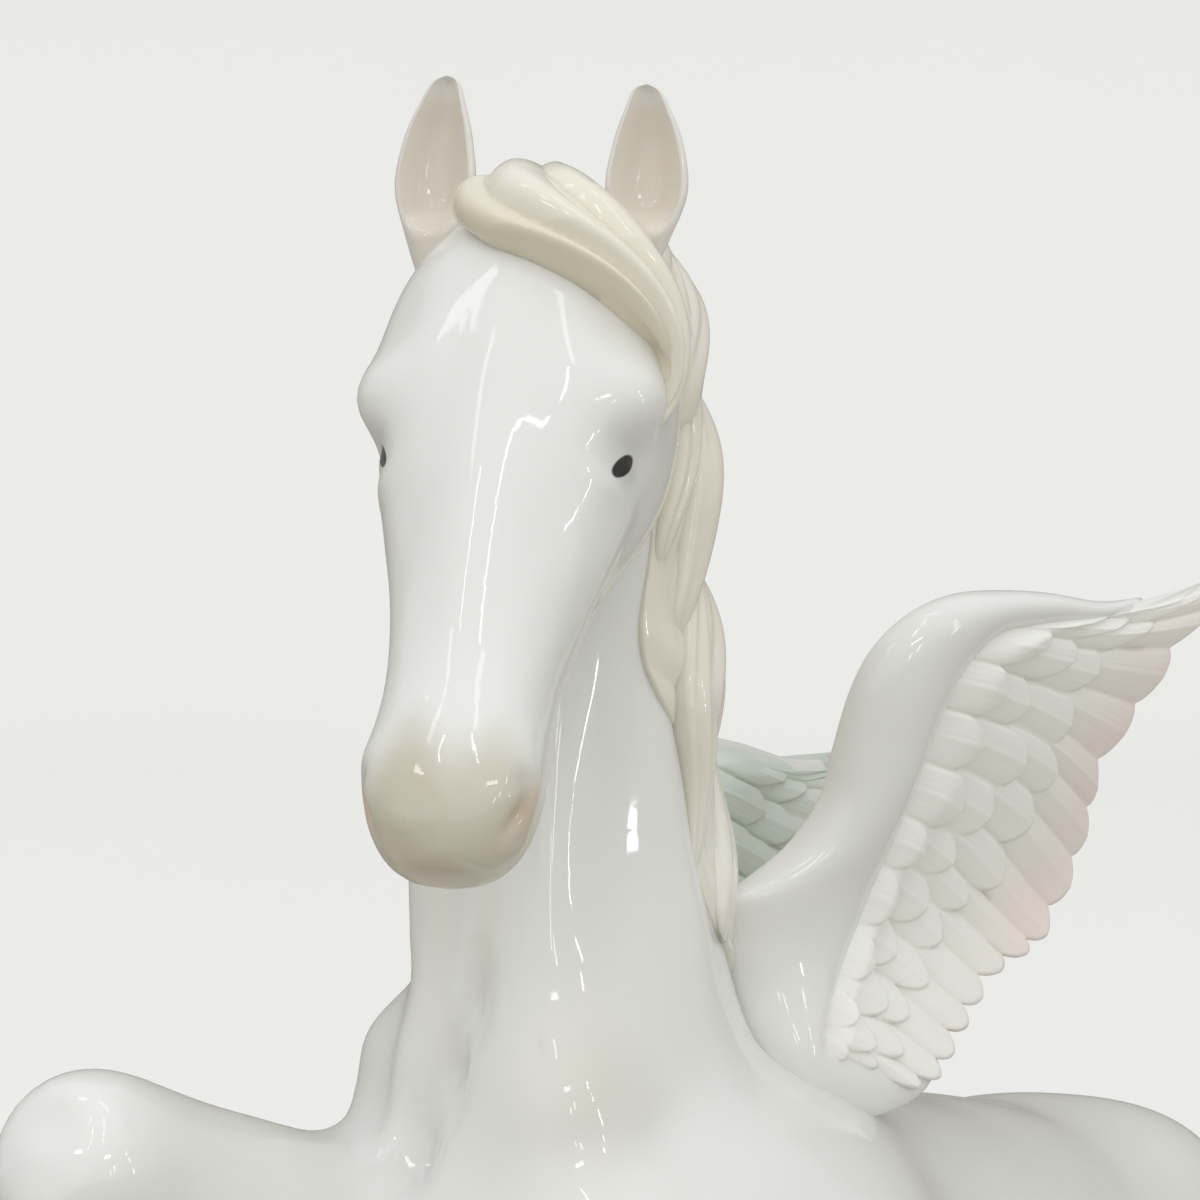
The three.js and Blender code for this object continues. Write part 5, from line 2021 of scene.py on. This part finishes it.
@dataclass
class Studio:
    """A plain pale sweep, a soft sky, thirteen slim lamps and the camera at the photo's place.

    dim and bright are the sky's strengths, reached at the two ends of key_span, which are cosines
    of the angle to the brightest spot. Each row of TUBES is how near the camera it hangs, its width
    and its power.
    """

    horse: Horse
    shift: Array
    azimuth: float = 30.0
    elevation: float = 5.0
    distance: float = 262.0
    view_angle: float = 22.4
    dim: float = 0.46
    bright: float = 1.03
    key_height: float = 48.0
    key_span: tuple[float, float] = (-0.3, 0.95)
    backdrop: float = 0.83
    paper_glow: float = 0.5
    paper: Color = (0.42, 0.42, 0.415)
    bounce: Color = (0.42, 0.405, 0.36)
    target: tuple[float, float, float] = (3.4, -62.0, 240.0)

    tube_rise: float = 950.0
    tube_length: float = 310.0
    radius: float = 700.0
    front: float = 3000.0
    run: float = 1500.0
    wall: float = 2600.0
    half: float = 4000.0

    TUBES = ((60, 80, 0.2), (450, 80, 0.2), (860, 36, 0.3))
    LAMPS = {
        "side_0": Lamp(820, 400, -60, 16, 110, 0.11),
        "side_1": Lamp(820, 470, 130, 16, 110, 0.11),
        "side_2": Lamp(820, 540, 320, 16, 110, 0.11),
        "bar_0": Lamp(-640, 560, 540, 180, 70, 0.3),
        "bar_1": Lamp(400, 860, 400, 180, 70, 0.3),
        "bar_2": Lamp(560, 800, 110, 30, 120, 0.09),
        "bar_3": Lamp(470, 830, 40, 24, 90, 0.06),
    }

    def axes(self) -> tuple[Array, Array]:
        """The level directions to the right of the picture and towards the camera."""
        a = math.radians(self.azimuth)
        return vec(math.cos(a), math.sin(a), 0), vec(math.sin(a), -math.cos(a), 0)

    def sweep(self) -> bpy.types.Object:
        """Floor and backdrop as one sheet: a flat run, a quarter turn and a wall.

        Returns:
            The object, turned to the camera.
        """
        t = np.linspace(0, math.pi / 2, 24)
        radius, run = self.radius, self.run
        y = np.concatenate([[-self.front], run + radius * np.sin(t), [run + radius]])
        z = np.concatenate([[0.0], radius - radius * np.cos(t), [self.wall]])
        x = np.array([-self.half, self.half])
        grid = np.stack(np.broadcast_arrays(x[None], y[:, None], z[:, None]), -1)
        index = np.arange(grid.shape[0] * 2).reshape(-1, 2)
        faces = np.stack([index[:-1, 0], index[:-1, 1], index[1:, 1], index[1:, 0]], -1)
        right, away = self.axes()
        points = grid.reshape(-1, 3) @ np.stack([right, -away, vec(0, 0, 1)])
        sweep = make_object("studio_sweep", Shell(points, [faces]), vec(0, 0, 0))
        n = Nodes("sweep_paper")
        tone = n.ramp(n.noise(0.8), 0.3, 0.7)
        color = n.blend(tone, (0.96, 0.965, 0.95), (1.0, 1.0, 0.99))
        seen = n.add("ShaderNodeLightPath").outputs["Is Camera Ray"]
        n.shader.inputs["Roughness"].default_value = 0.9
        n.link(color, n.shader.inputs["Emission Color"])
        n.link(n.times(seen, self.paper_glow), n.shader.inputs["Emission Strength"])
        sweep.data.materials.append(n.painted(n.blend(seen, self.bounce, self.paper)))
        return sweep

    def toward(self, height: float) -> Array:
        """The direction to the camera's side, so many degrees above the floor."""
        high = math.radians(height)
        return self.axes()[1] * math.cos(high) + vec(0, 0, math.sin(high))

    def sky(self, tree: bpy.types.NodeTree) -> None:
        """A soft sky: bright high up on the camera's side and dim all round.

        Args:
            tree: the nodes of the world.
        """
        back = tree.nodes["Background"]
        place = tree.nodes.new("ShaderNodeTexCoord")
        toward = tree.nodes.new("ShaderNodeVectorMath")
        toward.operation = "DOT_PRODUCT"
        toward.inputs[1].default_value = tuple(self.toward(self.key_height))
        ramp = tree.nodes.new("ShaderNodeMapRange")
        numbers = (*self.key_span, self.dim, self.bright)
        for name, number in zip(("From Min", "From Max", "To Min", "To Max"), numbers):
            ramp.inputs[name].default_value = number
        tree.links.new(place.outputs["Generated"], toward.inputs[0])
        tree.links.new(toward.outputs["Value"], ramp.inputs["Value"])
        shown = tree.nodes.new("ShaderNodeMix")
        seen = tree.nodes.new("ShaderNodeLightPath").outputs["Is Camera Ray"]
        tree.links.new(seen, shown.inputs[0])
        tree.links.new(ramp.outputs["Result"], shown.inputs[2])
        shown.inputs[3].default_value = self.backdrop
        tree.links.new(shown.outputs[0], back.inputs[1])
        back.inputs[0].default_value = (1.0, 1.0, 0.995, 1.0)

    def hang(self, name: str, lamp: Lamp) -> None:
        """A lamp in its place, facing the head.

        Args:
            name: the lamp's name.
            lamp: its place, size and power.
        """
        data = bpy.data.lights.new(name, "AREA")
        data.shape = "RECTANGLE"
        data.size, data.size_y = lamp.wide * MM, lamp.tall * MM
        data.energy = lamp.watts
        right, away = self.axes()
        off = right * lamp.right + away * lamp.away + vec(0, 0, lamp.up)
        obj = bpy.data.objects.new(name, data)
        obj.location = (self.horse.poll + self.shift + off) * MM
        obj.rotation_euler = Vector(-off * MM).to_track_quat("-Z", "Y").to_euler()
        bpy.context.collection.objects.link(obj)

    def camera(self) -> None:
        """The camera, looking at the point beside the head that is the photo's middle."""
        away = self.toward(self.elevation)
        target = np.array(self.target) + self.shift
        data = bpy.data.cameras.new("view")
        data.angle = math.radians(self.view_angle)
        data.clip_start, data.clip_end = 0.01, 50.0
        obj = bpy.data.objects.new("view", data)
        obj.location = (target + away * self.distance) * MM
        obj.rotation_euler = Vector(-away).to_track_quat("-Z", "Y").to_euler()
        bpy.context.collection.objects.link(obj)
        bpy.context.scene.camera = obj

    def build(self) -> None:
        """Puts up the sweep, the sky and the lamps."""
        self.sweep()
        world = bpy.data.worlds.new("sky")
        bpy.context.scene.world = world
        world.use_nodes = True
        self.sky(world.node_tree)
        for column, aside in enumerate((-560, 120)):
            for row, (ahead, wide, watts) in enumerate(self.TUBES):
                lamp = Lamp(aside + 30 * row, ahead, self.tube_rise, wide, self.tube_length, watts)
                self.hang(f"tube_{column}_{row}", lamp)
        for name, lamp in self.LAMPS.items():
            self.hang(name, lamp)
        bpy.context.scene.view_settings.view_transform = "Standard"


def dress(piece: bpy.types.Object, material: bpy.types.Material, slot: str, *nodes: str) -> None:
    """Gives a piece its material and its body, hides the castings that it stands for and logs its
    slot.

    Args:
        piece: the object.
        material: its finish.
        slot: the slot of that finish.
        nodes: the castings.
    """
    piece.data.materials.append(material)
    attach(piece, BODY)
    if nodes:
        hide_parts(*nodes)
    LOG.info("%s: %d faces, %s", piece.name, len(piece.data.polygons), slot)


def frame_shift(horse: Horse) -> Array:
    """The move from the horse's own frame to the row's, read from the mound's box.

    Args:
        horse: the landmarks.

    Returns:
        The move, in millimetres.
    """
    low, high = (np.array(corner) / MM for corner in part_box("base_mound"))
    middle = (low + high) / 2
    return vec(middle[0], middle[1] - horse.base_centre_y, low[2])


def main() -> None:
    """Builds every class in order and reports each piece."""
    logging.basicConfig(level=logging.INFO, format="%(name)s: %(message)s")
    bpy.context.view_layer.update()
    horse = Horse()
    shift = frame_shift(horse)

    glaze = HorseGlaze("horse_glaze", WHITE, WHITE_POOLED, horse=horse, shift=tuple(shift))
    white = Glaze("white_glaze", WHITE, WHITE_POOLED)
    ears = EarGlaze("ear_glaze", EAR_WHITE, EAR_POOLED)
    hair = HairGlaze("ivory_glaze", IVORY, IVORY_POOLED)

    skin = HorseSkin(horse).build(shift)
    dress(skin, glaze.material(), "white_glaze", "trunk", "head_and_neck", "right_foreleg",
          "left_foreleg", "right_hind_leg", "left_hind_leg")
    ear_material = ears.material()
    for ear in (Ear(horse, Hand.LEFT, 13.9), Ear(horse, Hand.RIGHT, 15.2)):
        side = ear.hand.word
        cup = make_object(f"{side}_cupped_ear", ear.shell(), shift)
        dress(cup, ear_material, "white_glaze", f"{side}_ear")
    hair_material = hair.material()
    for part, node in ((Mane(horse), "mane"), (Forelock(horse), "forelock"), (Tail(horse), "tail")):
        dress(part.build(shift), hair_material, "ivory_glaze", node)
    white_material = white.material()
    dress(Mound(horse).build(shift), white_material, "white_glaze", "base_mound")
    wings = (
        (Wing(horse, Hand.LEFT, (0.26, 0.45)), Bisque("left_bisque", BARE, PINK, 0.6, 1.02)),
        (Wing(horse, Hand.RIGHT, (-0.2, -0.08), swing=8.0, drop=12.6),
         Bisque("right_bisque", GREEN, ROSE, 0.3, 0.62)),
    )
    for wing, finish in wings:
        node = f"{wing.hand.word}_wing"
        arm, feathers = wing.build(shift)
        dress(arm, white_material, "white_glaze", node)
        dress(feathers, finish.material(), "bisque", node)

    studio = Studio(horse, shift)
    studio.build()
    studio.camera()


if __name__ == "__main__":
    main()
